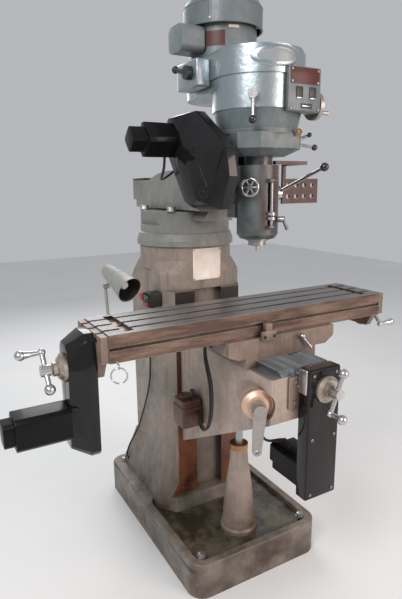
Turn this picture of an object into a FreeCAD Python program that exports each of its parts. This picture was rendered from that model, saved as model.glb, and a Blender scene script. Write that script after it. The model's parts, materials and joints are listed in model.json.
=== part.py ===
"""Vertical turret milling machine, in millimetres.

+X runs along the table to the operator's right, +Y from the operator to the column, +Z up.
The origin is the centre of the base on the floor. The rest pose has the table, knee, ram and quill
part of the way along their travels, as the machine stands when it is not in use.
"""
import FreeCAD, Part
import math
import os
from FreeCAD import Vector as V

os.makedirs("parts", exist_ok=True)

# ---------------------------------------------------------------- driving dimensions
BASE_WIDTH = 580.0
BASE_DEPTH = 900.0
BASE_HEIGHT = 141.0
TRAY_FLOOR = 118.0
ANCHOR_HALF_X = 235.0
ANCHOR_HALF_Y = 395.0
ANCHOR_HOLE = 18.0

COLUMN_HALF = 185.0
COLUMN_BACK = 330.0
WAY_FACE_Y = -55.0
WAY_HALF = 150.0
WAY_FOOT_Z = 170.0
WAY_TOP_Z = 1072.0
TURRET_Y = 139.0
TURRET_RADIUS = 195.0
TURRET_JOINT_Z = 1247.0
TURRET_TOP_Z = 1385.0

KNEE_HALF = 130.0
KNEE_FRONT_Y = -655.0
KNEE_TOP_Z = 900.0
KNEE_WALL = 18.0
KNEE_RAIL_TOP = 925.0
ELEVATOR_Y = -290.0
CRANK_Z = 811.0
CRANK_ANGLE = 24.7
CRANK_REACH = 346.0
DIAL_RADIUS = 50.0

CROSS_SCREW_X = 50.0
CROSS_SCREW_Z = 855.0

TABLE_LENGTH = 1067.0
TABLE_WIDTH = 229.0
TABLE_TOP_Z = 1084.0
TABLE_BOTTOM_Z = 1000.3
TABLE_X = -57.5
TABLE_Y = -411.0
T_SLOT = 16.0
T_SLOT_PITCH = 63.5
T_HEAD = 28.0
T_HEAD_BOTTOM_Z = 1054.0
T_HEAD_TOP_Z = 1066.0
LEAD_SCREW_Z = 975.0
SADDLE_LEFT = -207.0
SADDLE_RIGHT = 233.0
SADDLE_FRONT_Y = -540.0
SADDLE_BACK_Y = -282.0
SADDLE_TOP_Z = 1000.0
SADDLE_RAIL_TOP = 1024.0

RAM_HALF = 90.0
RAM_BOTTOM_Z = 1392.0
HEAD_AXIS_Z = 1470.0
NOD_AXIS_Y = -215.0
LUG_RADIUS = 60.0
FLANGE_Y = -285.0
KNUCKLE_FLANGE_Y = -278.0

SPINDLE_Y = -394.0
QUILL_RADIUS = 42.85
QUILL_HOUSING_RADIUS = 70.0
PINION_Y = -340.0
PINION_Z = 1455.0
PINION_RADIUS = 10.8
GEARBOX_BOTTOM_Z = 1575.0
GEARBOX_TOP_Z = 1714.0
BELT_BOTTOM_Z = 1714.3
BELT_TOP_Z = 1893.0
BELT_FRONT_Y = -385.0
MOTOR_Y = -174.0
MOTOR_RADIUS = 118.0
MOTOR_CAP_RADIUS = 138.0
TOP_Z = 2107.0

FIT = 0.1
RUNNING_GAP = 0.3

TABLE_LEFT = TABLE_X - TABLE_LENGTH / 2
TABLE_RIGHT = TABLE_X + TABLE_LENGTH / 2
TABLE_FRONT_Y = TABLE_Y - TABLE_WIDTH / 2
TABLE_BACK_Y = TABLE_Y + TABLE_WIDTH / 2

X_AXIS = V(1, 0, 0)
Y_AXIS = V(0, 1, 0)
Z_AXIS = V(0, 0, 1)


# ---------------------------------------------------------------- small shape helpers
def block(x0, x1, y0, y1, z0, z1):
    """A box between two corners."""
    return Part.makeBox(x1 - x0, y1 - y0, z1 - z0, V(x0, y0, z0))


def rod(radius, start, end):
    """A round bar from one point to another."""
    return Part.makeCylinder(radius, (end - start).Length, start, end - start)


def taper(radius_start, radius_end, start, end):
    """A round bar whose radius changes evenly along its length."""
    return Part.makeCone(radius_start, radius_end, (end - start).Length, start, end - start)


def polygon_face(points):
    """A flat face through points in order."""
    return Part.Face(Part.makePolygon(points + [points[0]]))


def side_profile(outline, x0, x1):
    """A (y, z) outline drawn out along X."""
    return polygon_face([V(x0, y, z) for y, z in outline]).extrude(V(x1 - x0, 0, 0))


def plan_profile(outline, z0, z1):
    """An (x, y) outline drawn out along Z."""
    return polygon_face([V(x, y, z0) for x, y in outline]).extrude(V(0, 0, z1 - z0))


def end_profile(outline, y0, y1):
    """An (x, z) outline drawn out along Y."""
    return polygon_face([V(x, y0, z) for x, z in outline]).extrude(V(0, y1 - y0, 0))


def straight_loft(sections):
    """A solid with flat sides through outlines that have the same number of points."""
    wires = [Part.makePolygon(points + [points[0]]) for points in sections]
    return Part.makeLoft(wires, True, True)


def edges_along(shape, axis, test=None):
    """The straight edges that run along an axis and whose middle passes a test."""
    found = []
    for edge in shape.Edges:
        if not isinstance(edge.Curve, Part.Line):
            continue
        run = edge.Vertexes[1].Point - edge.Vertexes[0].Point
        if abs(run.normalize().dot(axis)) < 0.999:
            continue
        middle = edge.CenterOfMass
        if test is None or test(middle):
            found.append(edge)
    return found


def rounded_block(x0, x1, y0, y1, z0, z1, radius, axis=Z_AXIS):
    """A box whose edges along one axis are rounded."""
    shape = block(x0, x1, y0, y1, z0, z1)
    return shape.makeFillet(radius, edges_along(shape, axis))


def joined(shapes):
    """One solid out of pieces of the same casting."""
    return shapes[0].fuse(shapes[1:]).removeSplitter()


def turned(shape, centre, axis, degrees):
    """A copy turned about an axis through a point."""
    copy = shape.copy()
    copy.rotate(centre, axis, degrees)
    return copy


def bent_tube(points, radius):
    """A tube of straight runs joined by the largest tangent arcs that its runs allow."""
    edges = []
    length = 0.0
    last = points[0]
    for before, corner, after in zip(points, points[1:], points[2:]):
        back = before - corner
        ahead = after - corner
        run = min(back.Length, ahead.Length)
        back.normalize()
        ahead.normalize()
        turn = math.pi - back.getAngle(ahead)
        cut = 0.45 * run
        bend = cut / math.tan(turn / 2)
        start = corner + back * cut
        end = corner + ahead * cut
        inward = (back + ahead).normalize()
        centre_gap = bend / math.cos(turn / 2)
        middle = corner + inward * (centre_gap - bend)
        edges.append(Part.LineSegment(last, start).toShape())
        edges.append(Part.Arc(start, middle, end).toShape())
        length += (start - last).Length + bend * turn
        last = end
        print("    bend radius %.1f, tube radius %.1f" % (bend, radius))
    edges.append(Part.LineSegment(last, points[-1]).toShape())
    length += (points[-1] - last).Length
    path = Part.Wire(edges)
    ring = Part.Wire(Part.Circle(points[0], points[1] - points[0], radius).toShape())
    tube = path.makePipeShell([ring], True, True)
    wanted = math.pi * radius ** 2 * length
    print("    length %.1f, volume %.0f against %.0f" % (length, tube.Volume, wanted))
    return tube


# ---------------------------------------------------------------- base, column and pedestal
def column_outline(half, front_half, front_y, shoulder_y, back_y):
    """Six corners of the column in plan, wide at the back and narrower at the ways."""
    return [
        (-front_half, front_y),
        (front_half, front_y),
        (half, shoulder_y),
        (half, back_y),
        (-half, back_y),
        (-front_half - (half - front_half), shoulder_y),
    ]


def column_base():
    """The base and the column, which are one iron casting."""
    half_x = BASE_WIDTH / 2
    half_y = BASE_DEPTH / 2
    base = rounded_block(-half_x, half_x, -half_y, half_y, 0, BASE_HEIGHT, 62)
    tray = rounded_block(-half_x + 34, half_x - 34, -half_y + 34, 30, TRAY_FLOOR, BASE_HEIGHT + 1, 40)
    base = base.cut(tray)
    rim = [e for e in base.Edges if abs(e.BoundBox.ZMin - BASE_HEIGHT) < 0.01
           and abs(e.BoundBox.ZMax - BASE_HEIGHT) < 0.01]
    base = base.makeFillet(7, rim)
    foot_low = [V(x, y, TRAY_FLOOR - 20) for x, y in column_outline(252, 190, -100, -20, 425)]
    foot_mid = [V(x, y, 225) for x, y in column_outline(212, 152, WAY_FACE_Y, 0, 372)]
    foot_top = [V(x, y, 345) for x, y in column_outline(COLUMN_HALF, WAY_HALF, WAY_FACE_Y, 5, COLUMN_BACK)]
    foot = straight_loft([foot_low, foot_mid, foot_top])
    above_foot = block(-WAY_HALF - 60, WAY_HALF + 60, -200, WAY_FACE_Y, WAY_FOOT_Z, 400)
    foot = foot.cut(above_foot)
    outline = column_outline(COLUMN_HALF, WAY_HALF, WAY_FACE_Y, 5, COLUMN_BACK)
    lower = plan_profile(outline, 344, WAY_TOP_Z)
    corner = edges_along(lower, Z_AXIS, lambda p: abs(p.x) > WAY_HALF + 5)
    lower = lower.makeFillet(22, corner)
    crown_outline = column_outline(COLUMN_HALF, WAY_HALF - 12, WAY_FACE_Y + 13, 5, COLUMN_BACK)
    crown = plan_profile(crown_outline, WAY_TOP_Z - 1, TURRET_JOINT_Z)
    top_centre = V(0, TURRET_Y, TURRET_JOINT_Z)
    cone = taper(TURRET_RADIUS + 82, TURRET_RADIUS, V(0, TURRET_Y, WAY_TOP_Z - 20), V(0, TURRET_Y, 1190))
    drum = rod(TURRET_RADIUS, V(0, TURRET_Y, 1190), top_centre)
    crown = crown.common(cone.fuse(drum))
    drum = rod(TURRET_RADIUS, V(0, TURRET_Y, 1150), top_centre)
    facet = block(-200, 200, -120, WAY_FACE_Y + 13, 1100, 1300)
    casting = joined([base, foot, lower, crown, drum.cut(facet)])
    groove = plan_profile([(-62, WAY_FACE_Y - 1), (62, WAY_FACE_Y - 1), (82, -20), (-82, -20)], WAY_FOOT_Z,
                          WAY_TOP_Z + 1)
    casting = casting.cut(groove)
    hollow = block(-COLUMN_HALF + 28, COLUMN_HALF - 28, 30, COLUMN_BACK - 28, 60, 1130)
    screw_well = rod(30, V(0, ELEVATOR_Y, -1), V(0, ELEVATOR_Y, 200))
    casting = casting.cut([hollow, screw_well])
    for x in (-ANCHOR_HALF_X, ANCHOR_HALF_X):
        for y in (-ANCHOR_HALF_Y, ANCHOR_HALF_Y):
            casting = casting.cut(rod(ANCHOR_HOLE / 2, V(x, y, -1), V(x, y, 200)))
    return casting


def elevating_pedestal():
    """The bottle-shaped stand that holds the elevating nut."""
    outside = [(0, TRAY_FLOOR), (74, TRAY_FLOOR), (74, 132), (68, 140), (60, 230), (50, 330), (38, 405), (34, 470),
               (0, 470)]
    face = polygon_face([V(r, ELEVATOR_Y, z) for r, z in outside])
    body = face.revolve(V(0, ELEVATOR_Y, 0), Z_AXIS, 360)
    bore = rod(21, V(0, ELEVATOR_Y, 100), V(0, ELEVATOR_Y, 480))
    seat = rod(28.05, V(0, ELEVATOR_Y, 440), V(0, ELEVATOR_Y, 480))
    return body.cut([bore, seat])


def elevating_nut():
    """The bronze nut that is pressed into the pedestal's top."""
    collar = rod(36, V(0, ELEVATOR_Y, 470), V(0, ELEVATOR_Y, 490))
    spigot = rod(28, V(0, ELEVATOR_Y, 440), V(0, ELEVATOR_Y, 470))
    bore = rod(15.1, V(0, ELEVATOR_Y, 430), V(0, ELEVATOR_Y, 500))
    return joined([collar, spigot]).cut(bore)


def button_box():
    """The push-button box on the column's left flank."""
    body = rounded_block(-240, -COLUMN_HALF, -2, 60, 1008, 1066, 6, X_AXIS)
    holes = [rod(8.3, V(-241, y, z), V(-190, y, z)) for y, z in BUTTON_PLACES.values()]
    return body.cut(holes)


BUTTON_PLACES = {"mushroom_button": (44.0, 1050.0), "start_button": (14.0, 1050.0), "stop_button": (14.0, 1024.0)}
BUTTON_HEADS = {"mushroom_button": (15.0, 12.0), "start_button": (9.5, 7.0), "stop_button": (9.5, 7.0)}


def push_button(name):
    """A push button: a round cap on a stem that slides in the box."""
    y, z = BUTTON_PLACES[name]
    radius, height = BUTTON_HEADS[name]
    cap = rod(radius, V(-246 - height, y, z), V(-246, y, z))
    cap = cap.makeFillet(2.5, [cap.Edges[2]] if cap.Edges[2].Length > radius else [cap.Edges[0]])
    stem = rod(8, V(-247, y, z), V(-205, y, z))
    return joined([cap, stem])


LAMP_FOOT = V(-COLUMN_HALF, 95, 960)
LAMP_ELBOW = V(-392, 60, 985)
LAMP_HEAD = V(-398, 60, 1105)


def lamp_arm():
    """The lamp's arm, from its foot on the column to the pivot behind the shade."""
    foot = rod(26, LAMP_FOOT + V(-RUNNING_GAP, 0, 0), LAMP_FOOT + V(-14, 0, 0))
    first = rod(7, LAMP_FOOT + V(-10, 0, 0), LAMP_ELBOW)
    elbow = Part.makeSphere(10, LAMP_ELBOW)
    second = rod(6, LAMP_ELBOW, LAMP_HEAD)
    eye = rod(10, LAMP_HEAD + V(-7, 0, 0), LAMP_HEAD + V(7, 0, 0))
    return joined([foot, first, elbow, second, eye])


def lamp_shade():
    """The lamp's conical shade, open at its mouth, with the lug that pivots on the arm."""
    back = LAMP_HEAD + V(10, -6, 62)
    mouth = LAMP_HEAD + V(48, -141, 2.5)
    run = (mouth - back).normalize()
    outside = taper(27, 52, back, mouth)
    inside = taper(24.5, 49.5, back + run * 3, mouth + run * 0.5)
    cap = taper(14, 27, back - run * 16, back)
    ear = rod(10, LAMP_HEAD + V(7.3, 0, 0), LAMP_HEAD + V(16, 0, 0))
    stalk = rod(4.5, LAMP_HEAD + V(12.5, 0, 0), back + run * 14)
    shell = joined([outside, cap, ear, stalk]).cut(inside)
    bulb = Part.makeSphere(17, back + run * 52)
    neck = rod(11, back - run * 1, back + run * 42)
    return joined([shell, neck, bulb])


COLUMN_CABLE = [V(-205, 45, 1009), V(-204, 47, 970), V(-203, 58, 916), V(-201, 78, 862), V(-199, 98, 806),
                V(-198, 106, 750), V(-197, 112, 694), V(-196, 128, 638), V(-196, 150, 584), V(-197, 176, 530),
                V(-198, 203, 478), V(-199, 233, 427), V(-201, 261, 374), V(-210, 290, 324), V(-222, 318, 276),
                V(-234, 338, 226), V(-237, 346, 190), V(-225, 348, 160)]


def column_cable():
    """The thin supply cable that hangs down the column's left flank."""
    return bent_tube(COLUMN_CABLE, 4.0)


# ---------------------------------------------------------------- knee and its screws
def crank_point(reach, side=0.0, height=0.0):
    """A point on the crank's axis, measured from the elevating screw."""
    angle = math.radians(CRANK_ANGLE)
    along = V(-math.sin(angle), -math.cos(angle), 0)
    across = V(math.cos(angle), -math.sin(angle), 0)
    return V(0, ELEVATOR_Y, CRANK_Z) + along * reach + across * side + V(0, 0, height)


def knee():
    """The knee: an iron box, open underneath, with ways for the saddle on top."""
    back = WAY_FACE_Y - RUNNING_GAP
    outline = [(back, 425), (back, KNEE_TOP_Z), (KNEE_FRONT_Y, KNEE_TOP_Z), (KNEE_FRONT_Y, 750), (-133, 467)]
    body = side_profile(outline, -KNEE_HALF, KNEE_HALF)
    front_edges = edges_along(body, Z_AXIS, lambda p: p.y < -600)
    body = body.makeFillet(10, front_edges)
    boss = rod(50, crank_point(250), crank_point(CRANK_REACH - RUNNING_GAP))
    inner = [(back - 32, 300), (back - 32, KNEE_TOP_Z - 24), (KNEE_FRONT_Y + KNEE_WALL, KNEE_TOP_Z - 24),
             (KNEE_FRONT_Y + KNEE_WALL, 300)]
    hollow = side_profile(inner, -KNEE_HALF + KNEE_WALL, KNEE_HALF - KNEE_WALL)
    rail = end_profile([(-85, KNEE_TOP_Z - 1), (85, KNEE_TOP_Z - 1), (101, KNEE_RAIL_TOP), (-101, KNEE_RAIL_TOP)],
                       KNEE_FRONT_Y + 1, back)
    shell = joined([body, boss, rail]).cut(hollow)
    bridge = block(-KNEE_HALF + 10, KNEE_HALF - 10, ELEVATOR_Y - 60, ELEVATOR_Y + 60, 742, 762)
    bridge = bridge.cut(rod(15.1, V(0, ELEVATOR_Y, 700), V(0, ELEVATOR_Y, 800)))
    tongue = plan_profile([(-61.7, back - 2), (61.7, back - 2), (61.7, back + 0.3), (80.9, -20.4),
                           (-80.9, -20.4), (-61.7, back + 0.3)], 425, KNEE_TOP_Z - 30)
    shell = joined([shell, bridge, tongue])
    slot = block(CROSS_SCREW_X - 21, CROSS_SCREW_X + 21, -545, -150, 860, KNEE_RAIL_TOP + 1)
    crank_bore = rod(14.1, crank_point(200), crank_point(CRANK_REACH + 5))
    dial_room = rod(DIAL_RADIUS + 3, crank_point(CRANK_REACH - RUNNING_GAP), crank_point(CRANK_REACH + 70))
    screw_bore = rod(14.1, V(CROSS_SCREW_X, -600, CROSS_SCREW_Z), V(CROSS_SCREW_X, -700, CROSS_SCREW_Z))
    return shell.cut([slot, crank_bore, dial_room, screw_bore])


def elevating_screw():
    """The vertical screw with the bevel wheel that the crank turns."""
    screw = rod(15, V(0, ELEVATOR_Y, 262), V(0, ELEVATOR_Y, 788))
    wheel = taper(58, 66, V(0, ELEVATOR_Y, 763), V(0, ELEVATOR_Y, 780))
    return joined([screw, wheel])


def crank_shaft():
    """The elevating shaft with its bevel pinion inside the knee."""
    shaft = rod(11, crank_point(40), crank_point(250))
    journal = rod(14, crank_point(245), crank_point(CRANK_REACH + 30))
    pinion = taper(20, 25, crank_point(38), crank_point(60))
    return joined([shaft, journal, pinion])


def crank_dial():
    """The elevating dial, a graduated ring on the shaft."""
    dial = rod(DIAL_RADIUS, crank_point(CRANK_REACH), crank_point(CRANK_REACH + 12))
    cone = taper(47, 34, crank_point(CRANK_REACH + 12), crank_point(CRANK_REACH + 24))
    hole = rod(14.02, crank_point(CRANK_REACH - 1), crank_point(CRANK_REACH + 30))
    return joined([dial, cone]).cut(hole)


def crank_lever():
    """The elevating lever: a clutch hub and a flat arm with a hole for a grip."""
    hub = rod(20, crank_point(CRANK_REACH + 30), crank_point(CRANK_REACH + 66))
    collar = rod(23, crank_point(CRANK_REACH + 24.3), crank_point(CRANK_REACH + 46))
    collar = collar.cut(rod(14.02, crank_point(CRANK_REACH + 20), crank_point(CRANK_REACH + 30)))
    arm = crank_arm(22, 14, 0, 136)
    eye = rod(15, crank_point(CRANK_REACH + 50, -8, -136), crank_point(CRANK_REACH + 60, -8, -136))
    hole = rod(6.5, crank_point(CRANK_REACH + 40, -8, -136), crank_point(CRANK_REACH + 70, -8, -136))
    return joined([hub, collar, arm, eye]).cut(hole)


def crank_arm(half_top, half_low, top, drop):
    """The flat tapering bar of the elevating lever."""
    corners = [(-half_top, top), (half_top, top), (half_low - 8, -drop), (-half_low - 8, -drop)]
    near = polygon_face([crank_point(CRANK_REACH + 50, s, h) for s, h in corners])
    return near.extrude(crank_point(CRANK_REACH + 60) - crank_point(CRANK_REACH + 50))


Y_DRIVE_BACK = -660.0
Y_DRIVE_FRONT = -706.0
Y_MOTOR_Z = 535.0


def y_drive_housing():
    """The upright belt case on the knee's front."""
    body = rounded_block(-20, 112, Y_DRIVE_FRONT, Y_DRIVE_BACK, 474, 925, 9, Y_AXIS)
    front = edges_along(body, Z_AXIS, lambda p: p.y < Y_DRIVE_BACK - 10)
    body = body.makeChamfer(5, front)
    cavity = block(-12, 104, Y_DRIVE_FRONT + 8, Y_DRIVE_BACK - 8, 482, 915)
    spacer = rod(34, V(CROSS_SCREW_X, Y_DRIVE_BACK, CROSS_SCREW_Z),
                 V(CROSS_SCREW_X, KNEE_FRONT_Y, CROSS_SCREW_Z))
    bore = rod(14.1, V(CROSS_SCREW_X, -600, CROSS_SCREW_Z), V(CROSS_SCREW_X, -750, CROSS_SCREW_Z))
    shaft_hole = rod(12, V(CROSS_SCREW_X, Y_DRIVE_BACK + 5, Y_MOTOR_Z), V(CROSS_SCREW_X, Y_DRIVE_BACK - 15, Y_MOTOR_Z))
    return joined([body.cut(cavity), spacer]).cut([bore, shaft_hole])


def servo_motor(face, direction, length, side, cap_length, roll, shaft_length):
    """A square servo motor with chamfered edges, a round-cornered end cap and its shaft."""
    up = Z_AXIS
    across = direction.cross(up).normalize()
    half = side / 2
    nip = side * 0.13
    corners = [(half - nip, half), (half, half - nip), (half, nip - half), (half - nip, -half), (nip - half, -half),
               (-half, nip - half), (-half, half - nip), (nip - half, half)]
    body = polygon_face([face + across * a + up * b for a, b in corners]).extrude(direction * length)
    end = face + direction * length
    cap = polygon_face([end + across * (a * 0.72) + up * (b * 0.72) for a, b in corners])
    cap = cap.extrude(direction * cap_length)
    shaft = rod(8, face + direction * 2, face - direction * shaft_length)
    return turned(joined([body, cap, shaft]), face, direction, roll)


def y_motor():
    """The servo motor of the cross slide, behind the foot of its belt case."""
    return servo_motor(V(CROSS_SCREW_X, Y_DRIVE_BACK, Y_MOTOR_Z), V(0, 1, 0), 150, 108, 36, 0, 30)


def cross_screw():
    """The saddle's feed screw."""
    thread = rod(12, V(CROSS_SCREW_X, -160, CROSS_SCREW_Z), V(CROSS_SCREW_X, -640, CROSS_SCREW_Z))
    journal = rod(14, V(CROSS_SCREW_X, -636, CROSS_SCREW_Z), V(CROSS_SCREW_X, -742, CROSS_SCREW_Z))
    return joined([thread, journal])


def cross_dial():
    """The saddle screw's graduated dial and its locking ring."""
    start = V(CROSS_SCREW_X, Y_DRIVE_FRONT - RUNNING_GAP, CROSS_SCREW_Z)
    ring = rod(44, start, start + V(0, -9, 0))
    cone = taper(42, 34, start + V(0, -9, 0), start + V(0, -17, 0))
    lock = rod(22, start + V(0, -17, 0), start + V(0, -28, 0))
    hole = rod(14.02, start + V(0, 1, 0), start + V(0, -40, 0))
    return joined([ring, cone, lock]).cut(hole)


def turned_grip(start, outward, pole, length):
    """A turned grip: a slim neck that swells evenly to a ball-shaped end."""
    waist = start + outward * (length * 0.45)
    swell = start + outward * (length * 0.82)
    return [taper(6, 9, start, waist), taper(9, 14, waist, swell), Part.makeSphere(15.5, swell, pole)]


def ball_crank(hub, outward, arm, grip_length, ball_radius=16.0, bore=0.0):
    """A machine handle: hub, round arm with a counterweight ball, and a turned grip."""
    body = rod(17, hub - outward * 14, hub + outward * 15)
    far = hub + arm
    near = hub - arm
    bar = rod(7.5, near, far)
    ball = Part.makeSphere(ball_radius, near, arm)
    knuckle = Part.makeSphere(11.5, far, arm)
    shape = joined([body, bar, ball, knuckle] + turned_grip(far, outward, arm, grip_length))
    if bore:
        shape = shape.cut(rod(bore, hub - outward * 20, hub + outward * 4))
    return shape


def cross_handle():
    """The saddle's ball-crank handle."""
    hub = V(CROSS_SCREW_X, -754, CROSS_SCREW_Z)
    return ball_crank(hub, V(0, -1, 0), V(-24, 0, -60), 62, bore=14.02)


LUBE_CENTRE = (-176.0, -190.0)


def lube_tank():
    """The one-shot oiler on the knee's left side: reservoir, cast head and strap."""
    x, y = LUBE_CENTRE
    tank = rounded_block(x - 42, -KNEE_HALF, y - 48, y + 48, 578, 655, 12)
    head = rounded_block(x - 38, -KNEE_HALF, y - 42, y + 42, 655, 682, 10)
    lid = rod(26, V(x, y + 10, 682), V(x, y + 10, 692))
    return joined([tank, head, lid])


def lube_handle():
    """The oiler's pull knob on its plunger rod."""
    x, y = LUBE_CENTRE
    stem = rod(4, V(x + 8, y - 26, 684), V(x + 8, y - 26, 712))
    knob = rod(9, V(x + 8, y - 26, 710), V(x + 8, y - 26, 722))
    return joined([stem, knob])


HOSE_ROUTE = [V(-150, -237, 640), V(-162, -265, 632), V(-176, -302, 616), V(-186, -346, 618), V(-192, -388, 648),
              V(-194, -410, 704), V(-193, -414, 764), V(-192, -406, 822), V(-194, -386, 872), V(-195, -368, 914),
              V(-191, -362, 943.4)]


def lube_hoses():
    """Two black oil hoses, side by side, from the oiler up to the saddle's end."""
    spread = V(-3, 11, -11)
    first = bent_tube(HOSE_ROUTE, 4.0)
    second = bent_tube([p + spread * (0.35 + 0.65 * math.sin(math.pi * i / (len(HOSE_ROUTE) - 1)))
                        for i, p in enumerate(HOSE_ROUTE)], 4.0)
    return Part.makeCompound([first, second])


MOTOR_CABLE = [V(-121, -600, 722), V(-119, -599, 698), V(-108, -596, 675), V(-84, -592, 658), V(-54, -588, 651),
               V(-24, -584, 645), V(2, -581, 632), V(18, -578, 611), V(24, -576, 588)]


def y_motor_cable():
    """The short cable from the knee's left wall to the cross motor."""
    return bent_tube(MOTOR_CABLE, 4.5)


# ---------------------------------------------------------------- saddle
def saddle():
    """The saddle: it slides on the knee and carries the table on its own ways."""
    plate_outline = [(SADDLE_LEFT, 952), (SADDLE_LEFT, SADDLE_TOP_Z), (SADDLE_RIGHT, SADDLE_TOP_Z),
                     (SADDLE_RIGHT, 962), (SADDLE_RIGHT - 36, 938), (150, 938), (150, KNEE_TOP_Z + RUNNING_GAP),
                     (-140, KNEE_TOP_Z + RUNNING_GAP), (-140, 938), (-170, 938)]
    body = end_profile(plate_outline, SADDLE_FRONT_Y, SADDLE_BACK_Y)
    rail = side_profile([(-485, SADDLE_TOP_Z - 1), (-337, SADDLE_TOP_Z - 1), (-321, SADDLE_RAIL_TOP),
                         (-501, SADDLE_RAIL_TOP)], SADDLE_LEFT, SADDLE_RIGHT)
    channel = block(SADDLE_LEFT - 1, SADDLE_RIGHT + 1, TABLE_Y - 24, TABLE_Y + 24, 946, SADDLE_RAIL_TOP + 1)
    way = end_profile([(-85.3, KNEE_TOP_Z - 1), (85.3, KNEE_TOP_Z - 1), (101.4, KNEE_RAIL_TOP + RUNNING_GAP),
                       (-101.4, KNEE_RAIL_TOP + RUNNING_GAP)], SADDLE_FRONT_Y - 1, SADDLE_BACK_Y + 1)
    body = joined([body, rail]).cut([channel, way])
    corner = edges_along(body, Y_AXIS, lambda p: abs(p.x - SADDLE_RIGHT) < 1 and abs(p.z - 962) < 1)
    body = body.makeFillet(14, corner)
    return body


def cross_nut():
    """The bronze nut that hangs from the saddle through the knee's slot."""
    body = block(CROSS_SCREW_X - 18, CROSS_SCREW_X + 18, -426, -376, 836, 874)
    neck = block(CROSS_SCREW_X - 12, CROSS_SCREW_X + 12, -426, -376, 873, KNEE_RAIL_TOP + RUNNING_GAP)
    bore = rod(12.1, V(CROSS_SCREW_X, -450, CROSS_SCREW_Z), V(CROSS_SCREW_X, -350, CROSS_SCREW_Z))
    return joined([body, neck]).cut(bore)


def table_nut():
    """The bronze nut of the table screw, in the saddle's channel."""
    body = block(-27, 53, TABLE_Y - 24, TABLE_Y + 24, 946, 996)
    return body.cut(rod(13.0, V(-60, TABLE_Y, LEAD_SCREW_Z), V(90, TABLE_Y, LEAD_SCREW_Z)))


def feed_nuts():
    """The two bronze nuts that the feed screws pull the saddle and the table with."""
    return Part.makeCompound([cross_nut(), table_nut()])


def table_lock_lever():
    """The bright ball lever that locks the table."""
    pivot = V(78, SADDLE_FRONT_Y, 985)
    hub = rod(9, pivot + V(0, -RUNNING_GAP, 0), pivot + V(0, -16, 0))
    tip = pivot + V(34, -18, -42)
    arm = taper(4, 6, pivot + V(0, -10, 0), tip)
    ball = Part.makeSphere(9, pivot + V(0, -16, 0))
    end = Part.makeSphere(7, tip)
    return joined([hub, arm, ball, end])


# ---------------------------------------------------------------- table and its screw
def t_slot_cutters(x0, x1):
    """The room of the three T-slots between two places along X."""
    cutters = []
    for index in (-1, 0, 1):
        y = TABLE_Y + index * T_SLOT_PITCH
        cutters.append(block(x0, x1, y - T_SLOT / 2, y + T_SLOT / 2, T_HEAD_TOP_Z - 1, TABLE_TOP_Z + 1))
        cutters.append(block(x0, x1, y - T_HEAD / 2, y + T_HEAD / 2, T_HEAD_BOTTOM_Z, T_HEAD_TOP_Z))
    return cutters


def table():
    """The table, with three T-slots, coolant channels and a stop groove in its front edge."""
    body = block(TABLE_LEFT, TABLE_RIGHT, TABLE_FRONT_Y, TABLE_BACK_Y, TABLE_BOTTOM_Z, TABLE_TOP_Z)
    way = side_profile([(-485.3, TABLE_BOTTOM_Z - 1), (-336.7, TABLE_BOTTOM_Z - 1),
                        (-320.6, SADDLE_RAIL_TOP + RUNNING_GAP), (-501.4, SADDLE_RAIL_TOP + RUNNING_GAP)],
                       TABLE_LEFT - 1, TABLE_RIGHT + 1)
    groove = block(TABLE_LEFT - 1, TABLE_RIGHT + 1, TABLE_FRONT_Y - 1, TABLE_FRONT_Y + 9, 1037, 1046)
    cuts = [way, groove] + t_slot_cutters(TABLE_LEFT - 1, TABLE_RIGHT + 1)
    for x in (TABLE_LEFT + 68, TABLE_RIGHT - 68):
        cuts.append(block(x - 15, x + 15, TABLE_Y - 96, TABLE_Y + 96, 1074, TABLE_TOP_Z + 1))
    return body.cut(cuts)


def end_bracket(x0, x1):
    """A bearing bracket that closes one end of the table and carries its screw."""
    plate = block(x0, x1, TABLE_FRONT_Y + 4, TABLE_BACK_Y - 4, 1002, 1080)
    apron = side_profile([(-500, 1003), (-322, 1003), (-355, 945), (-467, 945)], x0, x1)
    bore = rod(13.1, V(x0 - 5, TABLE_Y, LEAD_SCREW_Z), V(x1 + 5, TABLE_Y, LEAD_SCREW_Z))
    return joined([plate, apron]).cut([bore] + t_slot_cutters(x0 - 1, x1 + 1))


def end_brackets():
    """The two end brackets of the table."""
    return Part.makeCompound([end_bracket(TABLE_LEFT - 22, TABLE_LEFT), end_bracket(TABLE_RIGHT, TABLE_RIGHT + 22)])


X_DRIVE_RIGHT = TABLE_LEFT - 22
X_DRIVE_LEFT = -690.0
X_MOTOR_Z = 812.0


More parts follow.
